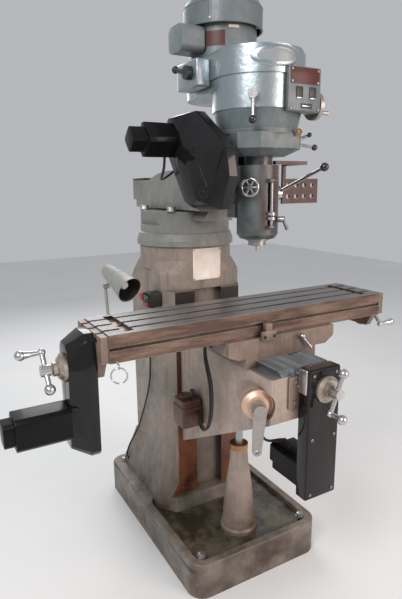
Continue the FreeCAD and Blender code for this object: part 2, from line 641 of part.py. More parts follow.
def x_drive_housing():
    """The belt case on the table's left end: a drop-shaped cover with drafted sides."""
    rim = [(-350, 1058), (-372, 1078), (-450, 1078), (-472, 1058), (-478, 975), (-470, 716), (-456, 700),
           (-366, 700), (-352, 716), (-344, 975)]
    face = [(-366, 1030), (-380, 1046), (-430, 1046), (-446, 1030), (-452, 975), (-424, 730), (-418, 720),
            (-372, 720), (-366, 730), (-360, 975)]
    lip = [V(X_DRIVE_RIGHT, y, z) for y, z in rim]
    edge = [V(X_DRIVE_RIGHT - 26, y, z) for y, z in rim]
    front = [V(X_DRIVE_LEFT, y, z) for y, z in face]
    shell = joined([straight_loft([lip, edge]), straight_loft([edge, front])])
    cavity = side_profile([(-356, 1040), (-460, 1040), (-462, 975), (-452, 715), (-370, 715), (-356, 975)],
                          X_DRIVE_RIGHT - 32, X_DRIVE_RIGHT - 8)
    pad = block(X_DRIVE_LEFT, X_DRIVE_LEFT + 40, TABLE_Y - 46, TABLE_Y + 46, X_MOTOR_Z - 46, X_MOTOR_Z + 46)
    bore = rod(13.1, V(-720, TABLE_Y, LEAD_SCREW_Z), V(-560, TABLE_Y, LEAD_SCREW_Z))
    shaft_hole = rod(12, V(X_DRIVE_LEFT - 5, TABLE_Y, X_MOTOR_Z), V(-640, TABLE_Y, X_MOTOR_Z))
    return joined([shell, pad]).cut([cavity, bore, shaft_hole])


def x_motor():
    """The servo motor of the table, low on its belt case."""
    return servo_motor(V(X_DRIVE_LEFT, TABLE_Y, X_MOTOR_Z), V(-1, 0, 0), 158, 98, 30, 0, 40)


def table_ring():
    """A loose steel ring that hangs from a screw eye under the table's front edge."""
    return Part.makeTorus(23, 2.2, V(-570, -536, 966), V(-0.4, -0.9, 0))


def table_screw():
    """The table's feed screw, with a journal at each end."""
    thread = rod(12.9, V(TABLE_LEFT - 5, TABLE_Y, LEAD_SCREW_Z), V(TABLE_RIGHT + 5, TABLE_Y, LEAD_SCREW_Z))
    left = rod(13, V(TABLE_LEFT, TABLE_Y, LEAD_SCREW_Z), V(-730, TABLE_Y, LEAD_SCREW_Z))
    right = rod(13, V(TABLE_RIGHT, TABLE_Y, LEAD_SCREW_Z), V(560, TABLE_Y, LEAD_SCREW_Z))
    return joined([thread, left, right])


def screw_dial(x, outward):
    """A graduated dial with a locking ring on the table screw."""
    start = V(x + outward * RUNNING_GAP, TABLE_Y, LEAD_SCREW_Z)
    ring = rod(43, start, start + V(outward * 10, 0, 0))
    cone = taper(40, 30, start + V(outward * 10, 0, 0), start + V(outward * 20, 0, 0))
    lock = rod(21, start + V(outward * 20, 0, 0), start + V(outward * 34, 0, 0))
    hole = rod(13.02, start - V(outward, 0, 0), start + V(outward * 40, 0, 0))
    return joined([ring, cone, lock]).cut(hole)


def table_dials():
    """The dials at the two ends of the table screw."""
    return Part.makeCompound([screw_dial(X_DRIVE_LEFT, -1), screw_dial(TABLE_RIGHT + 22, 1)])


def table_handles():
    """The two ball-crank handles of the table screw, set the same way round."""
    left = ball_crank(V(-744, TABLE_Y, LEAD_SCREW_Z), V(-1, 0, 0), V(0, 38, 44), 74, bore=13.02)
    right = ball_crank(V(574, TABLE_Y, LEAD_SCREW_Z), V(1, 0, 0), V(0, -38, -44), 74, bore=13.02)
    return Part.makeCompound([left, right])


# ---------------------------------------------------------------- turret, ram and knuckle
def turret():
    """The round turret, with a dovetail groove on top for the ram."""
    axis = V(0, TURRET_Y, 0)
    outside = [(0, TURRET_JOINT_Z + RUNNING_GAP), (206, TURRET_JOINT_Z + RUNNING_GAP), (206, 1268), (196, 1296),
               (190, 1300), (190, TURRET_TOP_Z), (0, TURRET_TOP_Z)]
    body = polygon_face([V(r, TURRET_Y, z) for r, z in outside]).revolve(axis, Z_AXIS, 360)
    flats = [block(x, x + 60, -100, 400, 1330, 1400) for x in (-222, 162)]
    groove = end_profile([(-46, TURRET_TOP_Z + 1), (46, TURRET_TOP_Z + 1), (66, 1352), (-66, 1352)], -120, 400)
    return body.cut(flats + [groove])


def ram():
    """The ram: a box section on a dovetail, with a fork at its front for the knuckle."""
    top = Part.Arc(V(-RAM_HALF, 300, 1512), V(-RAM_HALF, 90, 1546), V(-RAM_HALF, -118, 1512)).toShape()
    corners = [V(-RAM_HALF, -118, 1512), V(-RAM_HALF, -150, 1500), V(-RAM_HALF, -150, RAM_BOTTOM_Z),
               V(-RAM_HALF, 455, RAM_BOTTOM_Z), V(-RAM_HALF, 455, 1424), V(-RAM_HALF, 490, 1424),
               V(-RAM_HALF, 490, 1512), V(-RAM_HALF, 300, 1512)]
    rest = Part.makePolygon(corners)
    body = Part.Face(Part.Wire([top] + rest.Edges)).extrude(V(2 * RAM_HALF, 0, 0))
    tail = end_profile([(-45.6, RAM_BOTTOM_Z + 1), (45.6, RAM_BOTTOM_Z + 1), (45.6, TURRET_TOP_Z), (65.4, 1352.4),
                        (-65.4, 1352.4), (-45.6, TURRET_TOP_Z)], -140, 450)
    pivot = V(0, NOD_AXIS_Y, HEAD_AXIS_Z)
    lugs = []
    for x0, x1 in ((-RAM_HALF, -52), (52, RAM_HALF)):
        lug = rod(LUG_RADIUS, V(x0, NOD_AXIS_Y, HEAD_AXIS_Z), V(x1, NOD_AXIS_Y, HEAD_AXIS_Z))
        arm = block(x0, x1, NOD_AXIS_Y, -149, HEAD_AXIS_Z - LUG_RADIUS, HEAD_AXIS_Z + 30)
        lugs += [lug, arm]
    pin = rod(20.1, pivot - V(120, 0, 0), pivot + V(120, 0, 0))
    solid = joined([body, tail] + lugs)
    hollow = block(-RAM_HALF + 20, RAM_HALF - 20, -60, 440, RAM_BOTTOM_Z + 24, 1496)
    swing = rod(77, pivot - V(51.7, 0, 0), pivot + V(51.7, 0, 0))
    return solid.cut([pin, hollow, swing])


def knuckle():
    """The joint between ram and head: it nods on the ram's pin and carries the round flange."""
    pivot = V(0, NOD_AXIS_Y, HEAD_AXIS_Z)
    eye = rod(68, pivot - V(51.4, 0, 0), pivot + V(51.4, 0, 0))
    neck = rod(50, V(0, NOD_AXIS_Y - 20, HEAD_AXIS_Z), V(0, KNUCKLE_FLANGE_Y, HEAD_AXIS_Z))
    flange = rod(66, V(0, KNUCKLE_FLANGE_Y, HEAD_AXIS_Z), V(0, FLANGE_Y + RUNNING_GAP, HEAD_AXIS_Z))
    pin = rod(20, pivot - V(89.8, 0, 0), pivot + V(89.8, 0, 0))
    return joined([eye, neck, flange, pin])


# ---------------------------------------------------------------- head
def head_casting():
    """The quill housing with its flange, side boss for the pinion shaft and front slot."""
    centre = V(0, SPINDLE_Y, 0)
    barrel = rod(QUILL_HOUSING_RADIUS, centre + V(0, 0, 1322), centre + V(0, 0, 1548))
    collar = taper(60, QUILL_HOUSING_RADIUS, centre + V(0, 0, 1308), centre + V(0, 0, 1322.5))
    neck = rod(48, centre + V(0, 0, 1540), centre + V(0, 0, GEARBOX_BOTTOM_Z))
    back = block(-62, 62, -352, -300, 1376, 1564)
    flange = rod(76, V(0, FLANGE_Y, HEAD_AXIS_Z), V(0, FLANGE_Y - 22, HEAD_AXIS_Z))
    boss = rod(32, V(-150, PINION_Y, PINION_Z), V(88, PINION_Y, PINION_Z))
    shelf = block(-50, 50, -352, -300, 1560, GEARBOX_BOTTOM_Z)
    shape = joined([barrel, collar, neck, back, flange, boss, shelf])
    bore = rod(QUILL_RADIUS + FIT, centre + V(0, 0, 1300), centre + V(0, 0, 1566))
    clearance = rod(25, centre + V(0, 0, 1560), centre + V(0, 0, 1600))
    pinion_bore = rod(14.1, V(-160, PINION_Y, PINION_Z), V(100, PINION_Y, PINION_Z))
    slot = block(-9, 9, SPINDLE_Y - 80, SPINDLE_Y - 48, 1345, 1500)
    return shape.cut([bore, clearance, pinion_bore, slot])


def gear_housing():
    """The gear case between the quill housing and the belt housing."""
    def octagon(half, z):
        nip = half * 0.42
        pts = [(half - nip, -half), (half, nip - half), (half, half - nip), (half - nip, half), (nip - half, half),
               (-half, half - nip), (-half, nip - half), (nip - half, -half)]
        return [V(x, y + SPINDLE_Y + 8, z) for x, y in pts]
    skirt = straight_loft([octagon(78, GEARBOX_BOTTOM_Z), octagon(124, 1598), octagon(126, 1644)])
    flange = rod(132, V(0, SPINDLE_Y + 8, 1643), V(0, SPINDLE_Y + 8, 1656))
    bowl = taper(130, 143, V(0, SPINDLE_Y + 8, 1655), V(0, SPINDLE_Y + 8, GEARBOX_TOP_Z))
    shape = joined([skirt, flange, bowl])
    hollow = rod(96, V(0, SPINDLE_Y, 1600), V(0, SPINDLE_Y, 1702))
    bore = rod(25, V(0, SPINDLE_Y, 1560), V(0, SPINDLE_Y, 1760))
    return shape.cut([hollow, bore])


def stadium(front_y, back_y, front_radius, back_radius, z0, z1):
    """A slab with round ends, one about the spindle side and one about the motor side."""
    front = rod(front_radius, V(0, front_y, z0), V(0, front_y, z1))
    back = rod(back_radius, V(0, back_y, z0), V(0, back_y, z1))
    run = back_y - front_y
    lean = (front_radius - back_radius) / run
    cos = math.sqrt(1 - lean * lean)
    corners = [(front_radius * cos, front_y + front_radius * lean), (back_radius * cos, back_y + back_radius * lean)]
    outline = [corners[0], corners[1], (-corners[1][0], corners[1][1]), (-corners[0][0], corners[0][1])]
    return joined([front, back, plan_profile(outline, z0, z1)])


def belt_housing():
    """The bright cover over the belt and its pulleys, with a blank oval boss on the front."""
    lower = rod(146, V(0, BELT_FRONT_Y, BELT_BOTTOM_Z), V(0, BELT_FRONT_Y, 1800))
    rear = stadium(BELT_FRONT_Y, MOTOR_Y, 146, 128, 1778, BELT_TOP_Z - 14)
    band = stadium(BELT_FRONT_Y, MOTOR_Y, 151, 130, 1812, BELT_TOP_Z - 12)
    lid = stadium(BELT_FRONT_Y, MOTOR_Y, 144, 124, BELT_TOP_Z - 13, BELT_TOP_Z)
    shape = joined([lower, rear, band, lid])
    room_front = rod(120, V(0, BELT_FRONT_Y, 1724), V(0, BELT_FRONT_Y, 1880))
    room_back = rod(100, V(0, MOTOR_Y, 1790), V(0, MOTOR_Y, 1880))
    room_link = block(-90, 90, BELT_FRONT_Y, MOTOR_Y, 1790, 1880)
    drive_hole = rod(25, V(0, SPINDLE_Y, 1700), V(0, SPINDLE_Y, 1750))
    motor_hole = rod(18, V(0, MOTOR_Y, 1870), V(0, MOTOR_Y, 1900))
    return shape.cut([room_front, room_back, room_link, drive_hole, motor_hole])


def motor():
    """The drive motor, standing on the back of the belt housing."""
    body = rod(MOTOR_RADIUS, V(0, MOTOR_Y, BELT_TOP_Z), V(0, MOTOR_Y, 2066))
    shaft = rod(12, V(0, MOTOR_Y, 1840), V(0, MOTOR_Y, BELT_TOP_Z + 1))
    return joined([body, shaft])


def motor_fan_cap():
    """The domed fan cover on the motor."""
    outside = [(0, 2004), (MOTOR_CAP_RADIUS, 2004), (MOTOR_CAP_RADIUS, 2074), (128, 2092), (104, 2103), (60, TOP_Z),
               (0, TOP_Z)]
    body = polygon_face([V(r, MOTOR_Y, z) for r, z in outside]).revolve(V(0, MOTOR_Y, 0), Z_AXIS, 360)
    inside = rod(MOTOR_CAP_RADIUS - 5, V(0, MOTOR_Y, 2000), V(0, MOTOR_Y, 2068))
    seat = rod(MOTOR_RADIUS, V(0, MOTOR_Y, 2000), V(0, MOTOR_Y, 2066))
    lugs = []
    for angle in (40, 130, 220, 310):
        a = math.radians(angle)
        reach = (MOTOR_RADIUS + MOTOR_CAP_RADIUS) / 2
        spot = V(reach * math.cos(a), MOTOR_Y + reach * math.sin(a), 2008)
        lugs.append(rod(11.5, spot, spot + V(0, 0, 62)))
    shell = body.cut(inside)
    return joined([shell] + lugs).cut(seat)


def terminal_box():
    """The motor's terminal box on its left side."""
    body = rounded_block(-196, -112, MOTOR_Y - 66, MOTOR_Y + 34, 1918, 2002, 22, X_AXIS)
    return body.cut(rod(MOTOR_RADIUS, V(0, MOTOR_Y, 1900), V(0, MOTOR_Y, 2010)))


def drum_switch():
    """The reversing switch on the belt housing's left side."""
    body = block(-196, -126, -334, -196, 1792, 1876)
    keep_off = stadium(BELT_FRONT_Y, MOTOR_Y, 151.01, 130.01, 1700, 1900)
    return body.cut(keep_off)


SWITCH_PIVOT = V(-196, -292, 1836)


def switch_lever():
    """The black lever of the reversing switch."""
    hub = rod(21, SWITCH_PIVOT + V(-RUNNING_GAP, 0, 0), SWITCH_PIVOT + V(-20, 0, 0))
    arm = rod(7.5, SWITCH_PIVOT + V(-12, 0, 0), SWITCH_PIVOT + V(-15, 76, 22))
    grip = Part.makeSphere(12, SWITCH_PIVOT + V(-15, 76, 22))
    return joined([hub, arm, grip])


def speed_box():
    """The speed changer on the right front of the belt housing."""
    body = rounded_block(-2, 122, -548, -440, 1702, 1832, 7, X_AXIS)
    keep_off = rod(151.01, V(0, BELT_FRONT_Y, 1660), V(0, BELT_FRONT_Y, 1900))
    bowl = rod(146, V(0, SPINDLE_Y + 8, 1640), V(0, SPINDLE_Y + 8, 1716))
    bore = rod(8.1, V(98, -505, 1728), V(130, -505, 1728))
    return body.cut([keep_off, bowl, bore])


def speed_wheel():
    """The speed changer's handwheel with its small crank grip."""
    centre = V(122 + RUNNING_GAP, -505, 1728)
    shaft = rod(8, centre + V(-22, 0, 0), centre + V(20, 0, 0))
    hub = rod(22, centre, centre + V(22, 0, 0))
    rim = rod(43, centre + V(6, 0, 0), centre + V(20, 0, 0))
    grip = taper(4, 7, centre + V(20, -26, -22), centre + V(48, -26, -22))
    return joined([shaft, hub, rim, grip])


def hi_lo_lever():
    """The back-gear lever on the belt housing, with a black ball that hangs down."""
    outward = V(-93, -111, 0).normalize()
    pivot = V(0, BELT_FRONT_Y, 1752) + outward * (146 + RUNNING_GAP)
    hub = rod(16, pivot, pivot + outward * 26)
    low = pivot + outward * 24 + V(0, 0, -76)
    arm = rod(4.5, pivot + outward * 18, low)
    ball = Part.makeSphere(12, low)
    return joined([hub, arm, ball])


def side_lever(start, tip, ball_radius):
    """A short rod with a black ball, out of the gear case's right side."""
    stem = rod(5, start, tip)
    ball = Part.makeSphere(ball_radius, tip)
    return joined([stem, ball])


BRAKE_PIVOT = V(126.5, -430, 1618)
FEED_PIVOT = V(126.5, -452, 1634)


def brake_lever():
    """The spindle brake lever."""
    hub = rod(11, BRAKE_PIVOT, BRAKE_PIVOT + V(12, 0, 0))
    return joined([hub, side_lever(BRAKE_PIVOT + V(6, 0, 0), BRAKE_PIVOT + V(58, -30, -12), 10)])


def feed_lever():
    """The power feed's engaging lever."""
    hub = rod(7, FEED_PIVOT, FEED_PIVOT + V(9, 0, 0))
    return joined([hub, side_lever(FEED_PIVOT + V(4, 0, 0), FEED_PIVOT + V(20, -24, 10), 8)])


HANDLE_ANGLE = 158.6


def quill_handle():
    """The quill's pinion shaft with the long feed lever on its right end."""
    left = rod(14, V(-166, PINION_Y, PINION_Z), V(-22, PINION_Y, PINION_Z))
    pinion = rod(PINION_RADIUS, V(-23, PINION_Y, PINION_Z), V(23, PINION_Y, PINION_Z))
    right = rod(14, V(22, PINION_Y, PINION_Z), V(92, PINION_Y, PINION_Z))
    hub = rod(27, V(88 + RUNNING_GAP, PINION_Y, PINION_Z), V(128, PINION_Y, PINION_Z))
    disc = rod(33, V(100, PINION_Y, PINION_Z), V(112, PINION_Y, PINION_Z))
    angle = math.radians(HANDLE_ANGLE)
    tip = V(146, PINION_Y + 230 * math.cos(angle), PINION_Z + 230 * math.sin(angle))
    lever = rod(5.5, V(120, PINION_Y, PINION_Z), tip)
    ball = Part.makeSphere(14, tip)
    return joined([left, pinion, right, hub, disc, lever, ball])


def quill_lock():
    """The quill's locking lever, low on the right of its housing."""
    pivot = V(44, SPINDLE_Y - 58, 1372)
    outward = V(44, -54.5, 0).normalize()
    hub = rod(10, pivot, pivot + outward * 22)
    arm = taper(4, 6, pivot + outward * 16, pivot + outward * 24 + V(24, 20, -34))
    keep_off = rod(QUILL_HOUSING_RADIUS + RUNNING_GAP, V(0, SPINDLE_Y, 1300), V(0, SPINDLE_Y, 1500))
    return joined([hub, arm]).cut(keep_off)


def feed_wheel():
    """The fine-feed handwheel on the left front of the quill housing."""
    outward = V(-64, -50, 0).normalize()
    centre = V(0, SPINDLE_Y, 1478) + outward * (QUILL_HOUSING_RADIUS + 4)
    hub = rod(9, centre - outward * 3, centre + outward * 22)
    rim = Part.makeTorus(27, 4.5, centre + outward * 15, outward)
    spokes = []
    for angle in (0, 60, 120):
        tilt = math.radians(angle)
        along = V(-outward.y, outward.x, 0) * math.cos(tilt) + V(0, 0, 1) * math.sin(tilt)
        middle = centre + outward * 15
        spokes.append(rod(3, middle - along * 27, middle + along * 27))
    keep_off = rod(QUILL_HOUSING_RADIUS + RUNNING_GAP, V(0, SPINDLE_Y, 1400), V(0, SPINDLE_Y, 1560))
    return joined([hub, rim] + spokes).cut(keep_off)


def tool_rack():
    """A drilled plate for collets and cutters on a bent arm at the head's right side."""
    plate = block(170, 338, -313, -303, 1416, 1506)
    holes = [rod(9, V(x, -320, z), V(x, -290, z)) for x in (196, 234, 272, 310) for z in (1442, 1482)]
    arm = block(48, 184, -428, -412, 1551, 1563)
    link = block(170, 184, -428, -303, 1551, 1563)
    drop = block(170, 184, -313, -303, 1500, 1563)
    neck = rod(48.01, V(0, SPINDLE_Y, 1500), V(0, SPINDLE_Y, 1600))
    return joined([plate, arm, link, drop]).cut(holes + [neck])


Z_DRIVE_RIGHT = -150.0
Z_DRIVE_LEFT = -236.0
Z_MOTOR_Y = -226.0
Z_MOTOR_Z = 1634.0


def z_drive_housing():
    """The belt case of the quill drive: a broad drop shape with drafted sides."""
    rim = [(-196, 1722), (-300, 1722), (-492, 1596), (-506, 1512), (-458, 1412), (-348, 1402), (-296, 1420),
           (-160, 1592), (-152, 1690)]
    face = [(-206, 1706), (-252, 1706), (-336, 1560), (-372, 1480), (-392, 1440), (-352, 1420), (-310, 1436),
            (-186, 1600), (-180, 1684)]
    lip = [V(Z_DRIVE_RIGHT, y, z) for y, z in rim]
    edge = [V(Z_DRIVE_RIGHT - 34, y, z) for y, z in rim]
    front = [V(Z_DRIVE_LEFT, y, z) for y, z in face]
    shell = joined([straight_loft([lip, edge]), straight_loft([edge, front])])
    cavity = side_profile([(-190, 1690), (-260, 1690), (-400, 1560), (-420, 1470), (-340, 1420), (-270, 1480),
                           (-190, 1600)], Z_DRIVE_RIGHT - 44, Z_DRIVE_RIGHT - 8)
    bore = rod(14.1, V(-200, PINION_Y, PINION_Z), V(-100, PINION_Y, PINION_Z))
    shaft_hole = rod(12, V(-240, Z_MOTOR_Y, Z_MOTOR_Z), V(-190, Z_MOTOR_Y, Z_MOTOR_Z))
    return shell.cut([cavity, bore, shaft_hole])


def z_motor():
    """The servo motor of the quill, at the top of its belt case."""
    return servo_motor(V(Z_DRIVE_LEFT, Z_MOTOR_Y, Z_MOTOR_Z), V(-1, 0, 0), 104, 90, 48, 42, 30)


Z_CABLE = [V(-262, -223, 1580), V(-262, -221, 1556), V(-260, -206, 1533), V(-254, -180, 1516), V(-243, -150, 1508),
           V(-222, -124, 1510), V(-194, -110, 1522), V(-164, -108, 1542), V(-140, -118, 1568), V(-126, -140, 1592),
           V(-118, -170, 1609), V(-113, -203, 1618), V(-108, -236, 1621), V(-104, -264, 1621.5), V(-98, -290, 1622)]


def z_motor_cable():
    """The cable that leaves the quill motor and loops round to the back of the gear case."""
    return bent_tube(Z_CABLE, 4.5)


# ---------------------------------------------------------------- quill and spindle
def quill():
    """The quill: a thick sleeve that slides in the head."""
    sleeve = rod(QUILL_RADIUS, V(0, SPINDLE_Y, 1303), V(0, SPINDLE_Y, 1562))
    nose = rod(36, V(0, SPINDLE_Y, 1300), V(0, SPINDLE_Y, 1303.5))
    bore = rod(22.1, V(0, SPINDLE_Y, 1290), V(0, SPINDLE_Y, 1570))
    return joined([sleeve, nose]).cut(bore)


def spindle():
    """The spindle, with a short taper and a collet bore in its nose."""
    body = rod(22, V(0, SPINDLE_Y, 1299), V(0, SPINDLE_Y, 1540))
    drive = rod(14, V(0, SPINDLE_Y, 1530), V(0, SPINDLE_Y, 1700))
    nose = rod(30, V(0, SPINDLE_Y, 1284), V(0, SPINDLE_Y, 1299.7))
    bore = rod(12.06, V(0, SPINDLE_Y, 1270), V(0, SPINDLE_Y, 1390))
    mouth = taper(15.9, 12.06, V(0, SPINDLE_Y, 1283.9), V(0, SPINDLE_Y, 1296.8))
    return joined([body, drive, nose]).cut([bore, mouth])


# ---------------------------------------------------------------- all the nodes
NODES = {
    "column_base": column_base,
    "elevating_pedestal": elevating_pedestal,
    "elevating_nut": elevating_nut,
    "button_box": button_box,
    "mushroom_button": lambda: push_button("mushroom_button"),
    "start_button": lambda: push_button("start_button"),
    "stop_button": lambda: push_button("stop_button"),
    "lamp_arm": lamp_arm,
    "lamp_shade": lamp_shade,
    "column_cable": column_cable,
    "knee": knee,
    "elevating_screw": elevating_screw,
    "crank_shaft": crank_shaft,
    "crank_dial": crank_dial,
    "crank_lever": crank_lever,
    "lube_tank": lube_tank,
    "lube_handle": lube_handle,
    "lube_hoses": lube_hoses,
    "y_drive_housing": y_drive_housing,
    "y_motor": y_motor,
    "y_motor_cable": y_motor_cable,
    "cross_screw": cross_screw,
    "cross_dial": cross_dial,
    "cross_handle": cross_handle,
    "saddle": saddle,
    "feed_nuts": feed_nuts,
    "table_lock_lever": table_lock_lever,
    "table": table,
    "end_brackets": end_brackets,
    "x_drive_housing": x_drive_housing,
    "x_motor": x_motor,
    "table_ring": table_ring,
    "table_screw": table_screw,
    "table_dials": table_dials,
    "table_handles": table_handles,
    "turret": turret,
    "ram": ram,
    "knuckle": knuckle,
    "head_casting": head_casting,
    "gear_housing": gear_housing,
    "belt_housing": belt_housing,
    "motor": motor,
    "motor_fan_cap": motor_fan_cap,
    "terminal_box": terminal_box,
    "drum_switch": drum_switch,
    "switch_lever": switch_lever,
    "speed_box": speed_box,
    "speed_wheel": speed_wheel,
    "hi_lo_lever": hi_lo_lever,
    "brake_lever": brake_lever,
    "feed_lever": feed_lever,
    "quill_handle": quill_handle,
    "quill_lock": quill_lock,
    "feed_wheel": feed_wheel,
    "tool_rack": tool_rack,
    "z_drive_housing": z_drive_housing,
    "z_motor": z_motor,
    "z_motor_cable": z_motor_cable,
    "quill": quill,
    "spindle": spindle,
}


for name, maker in NODES.items():
    print(name)
    shape = maker()
    if not shape.isValid() or not shape.Solids:
        print("    NOT VALID")
    print("    solids %d, volume %.0f" % (len(shape.Solids), shape.Volume))
    shape.exportStep("parts/" + name + ".step")
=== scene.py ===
# %% [markdown]
# # A vertical milling machine
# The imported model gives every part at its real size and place. This lesson gives the parts their finishes,
# rounds the castings' edges and adds the small pieces that only matter to the eye.

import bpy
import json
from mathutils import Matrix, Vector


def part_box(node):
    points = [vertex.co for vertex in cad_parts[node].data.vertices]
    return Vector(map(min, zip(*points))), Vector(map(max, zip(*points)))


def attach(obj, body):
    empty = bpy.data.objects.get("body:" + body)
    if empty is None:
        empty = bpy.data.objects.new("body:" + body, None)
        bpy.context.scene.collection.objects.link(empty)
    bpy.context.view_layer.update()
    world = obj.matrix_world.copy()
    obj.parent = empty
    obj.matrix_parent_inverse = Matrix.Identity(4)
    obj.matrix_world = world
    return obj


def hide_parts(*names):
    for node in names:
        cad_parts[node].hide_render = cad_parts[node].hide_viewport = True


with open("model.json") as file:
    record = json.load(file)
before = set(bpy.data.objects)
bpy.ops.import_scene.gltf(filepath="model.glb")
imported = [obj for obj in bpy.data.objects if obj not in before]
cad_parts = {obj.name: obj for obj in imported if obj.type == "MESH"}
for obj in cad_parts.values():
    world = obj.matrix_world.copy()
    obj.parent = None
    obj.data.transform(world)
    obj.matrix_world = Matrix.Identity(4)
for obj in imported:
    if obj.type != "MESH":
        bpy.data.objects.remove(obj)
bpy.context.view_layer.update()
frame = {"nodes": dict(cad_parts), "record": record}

# %% Modules
import json
import math

import bpy
from mathutils import Matrix, Vector

# %% [markdown]
# ## The camera
# A machine this tall is best seen from an operator's eye height, a little to its left. The camera's axes
# are worked out from a heading, a tilt and a small roll, because a matrix made of three axes leaves no
# doubt about their order.

# %% Camera
EYE = Vector((-1.0252, -1.8182, 1.4856))
HEADING = math.radians(29.368)
TILT = math.radians(12.700)
ROLL = math.radians(-0.649)
LENS_MM = 30.42

forward = Vector((math.sin(HEADING) * math.cos(TILT), math.cos(HEADING) * math.cos(TILT), -math.sin(TILT)))
level = Vector((math.cos(HEADING), -math.sin(HEADING), 0))
above = level.cross(forward)
right = level * math.cos(ROLL) + above * math.sin(ROLL)
top = above * math.cos(ROLL) - level * math.sin(ROLL)
camera = bpy.data.objects.new("camera", bpy.data.cameras.new("camera"))
camera.data.lens = LENS_MM
camera.data.sensor_width = 36
axes = Matrix((right, top, -forward)).transposed().to_4x4()
camera.matrix_world = Matrix.Translation(EYE) @ axes
bpy.context.collection.objects.link(camera)
bpy.context.scene.camera = camera
print("camera looks along", [round(v, 3) for v in forward])

# %% [markdown]
# ## Cables and hoses
# A rubber cable bends in one smooth line. A NURBS spline along listed control points gives that,
# and its bevel gives the round section. The points are those of the model's own tubes, so the cords lie
# where the tubes lie.

# %% Cords
def cord_curve(name, route, radius):
    """A round cord along a smooth spline."""
    curve = bpy.data.curves.new(name, "CURVE")
    curve.dimensions = "3D"
    spline = curve.splines.new("NURBS")
    spline.points.add(len(route) - 1)
    for point, place in zip(spline.points, route):
        point.co = (*place, 1)
        point.radius = radius
    spline.order_u = 3
    spline.use_endpoint_u = True
    spline.resolution_u = 8
    curve.bevel_depth = 1.0
    curve.bevel_resolution = 5
    curve.use_fill_caps = True
    piece = bpy.data.objects.new(name, curve)
    bpy.context.collection.objects.link(piece)
    return piece


COLUMN_CABLE = [(-0.205, 0.045, 1.009), (-0.204, 0.047, 0.970), (-0.203, 0.058, 0.916),
                (-0.201, 0.078, 0.862), (-0.199, 0.098, 0.806), (-0.198, 0.106, 0.750),
                (-0.197, 0.112, 0.694), (-0.196, 0.128, 0.638), (-0.196, 0.150, 0.584),
                (-0.197, 0.176, 0.530), (-0.198, 0.203, 0.478), (-0.199, 0.233, 0.427),
                (-0.201, 0.261, 0.374), (-0.210, 0.290, 0.324), (-0.222, 0.318, 0.276),
                (-0.234, 0.338, 0.226), (-0.237, 0.346, 0.190), (-0.225, 0.348, 0.160)]
HOSE = [(-0.150, -0.237, 0.640), (-0.162, -0.265, 0.632), (-0.176, -0.302, 0.616),
        (-0.186, -0.346, 0.618), (-0.192, -0.388, 0.648), (-0.194, -0.410, 0.704),
        (-0.193, -0.414, 0.764), (-0.192, -0.406, 0.822), (-0.194, -0.386, 0.872),
        (-0.195, -0.368, 0.914), (-0.191, -0.362, 0.9434)]
MOTOR_CABLE = [(-0.121, -0.600, 0.722), (-0.119, -0.599, 0.698), (-0.108, -0.596, 0.675),
               (-0.084, -0.592, 0.658), (-0.054, -0.588, 0.651), (-0.024, -0.584, 0.645),
               (0.002, -0.581, 0.632), (0.018, -0.578, 0.611), (0.024, -0.576, 0.588)]
QUILL_CABLE = [(-0.262, -0.223, 1.580), (-0.262, -0.221, 1.556), (-0.260, -0.206, 1.533),
               (-0.254, -0.180, 1.516), (-0.243, -0.150, 1.508), (-0.222, -0.124, 1.510),
               (-0.194, -0.110, 1.522), (-0.164, -0.108, 1.542), (-0.140, -0.118, 1.568),
               (-0.126, -0.140, 1.592), (-0.118, -0.170, 1.609), (-0.113, -0.203, 1.618),
               (-0.108, -0.236, 1.621), (-0.104, -0.264, 1.6215), (-0.098, -0.290, 1.622)]
HOSE_SPREAD = Vector((-0.003, 0.011, -0.011))
END_SHARE = 0.35


def second_hose():
    """The other hose's route: a little beside the first at its ends, and more in between."""
    last = len(HOSE) - 1
    shares = [END_SHARE + (1 - END_SHARE) * math.sin(math.pi * i / last) for i in range(last + 1)]
    return [Vector(p) + HOSE_SPREAD * share for p, share in zip(HOSE, shares)]


cords = {}
for name, route, radius, body, node, length in (
        ("supply_cable", COLUMN_CABLE, 0.004, "column", "column_cable", 0.915),
        ("oil_hose_upper", HOSE, 0.004, "knee", "lube_hoses", 0.476),
        ("oil_hose_lower", second_hose(), 0.004, "knee", "lube_hoses", 0.476),
        ("cross_motor_cable", MOTOR_CABLE, 0.0045, "knee", "y_motor_cable", 0.219),
        ("quill_motor_cable", QUILL_CABLE, 0.0045, "head", "z_motor_cable", 0.446)):
    piece = cord_curve(name, route, radius)
    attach(piece, body)
    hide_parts(node)
    cords[name] = piece
print("cords", sorted(cords))
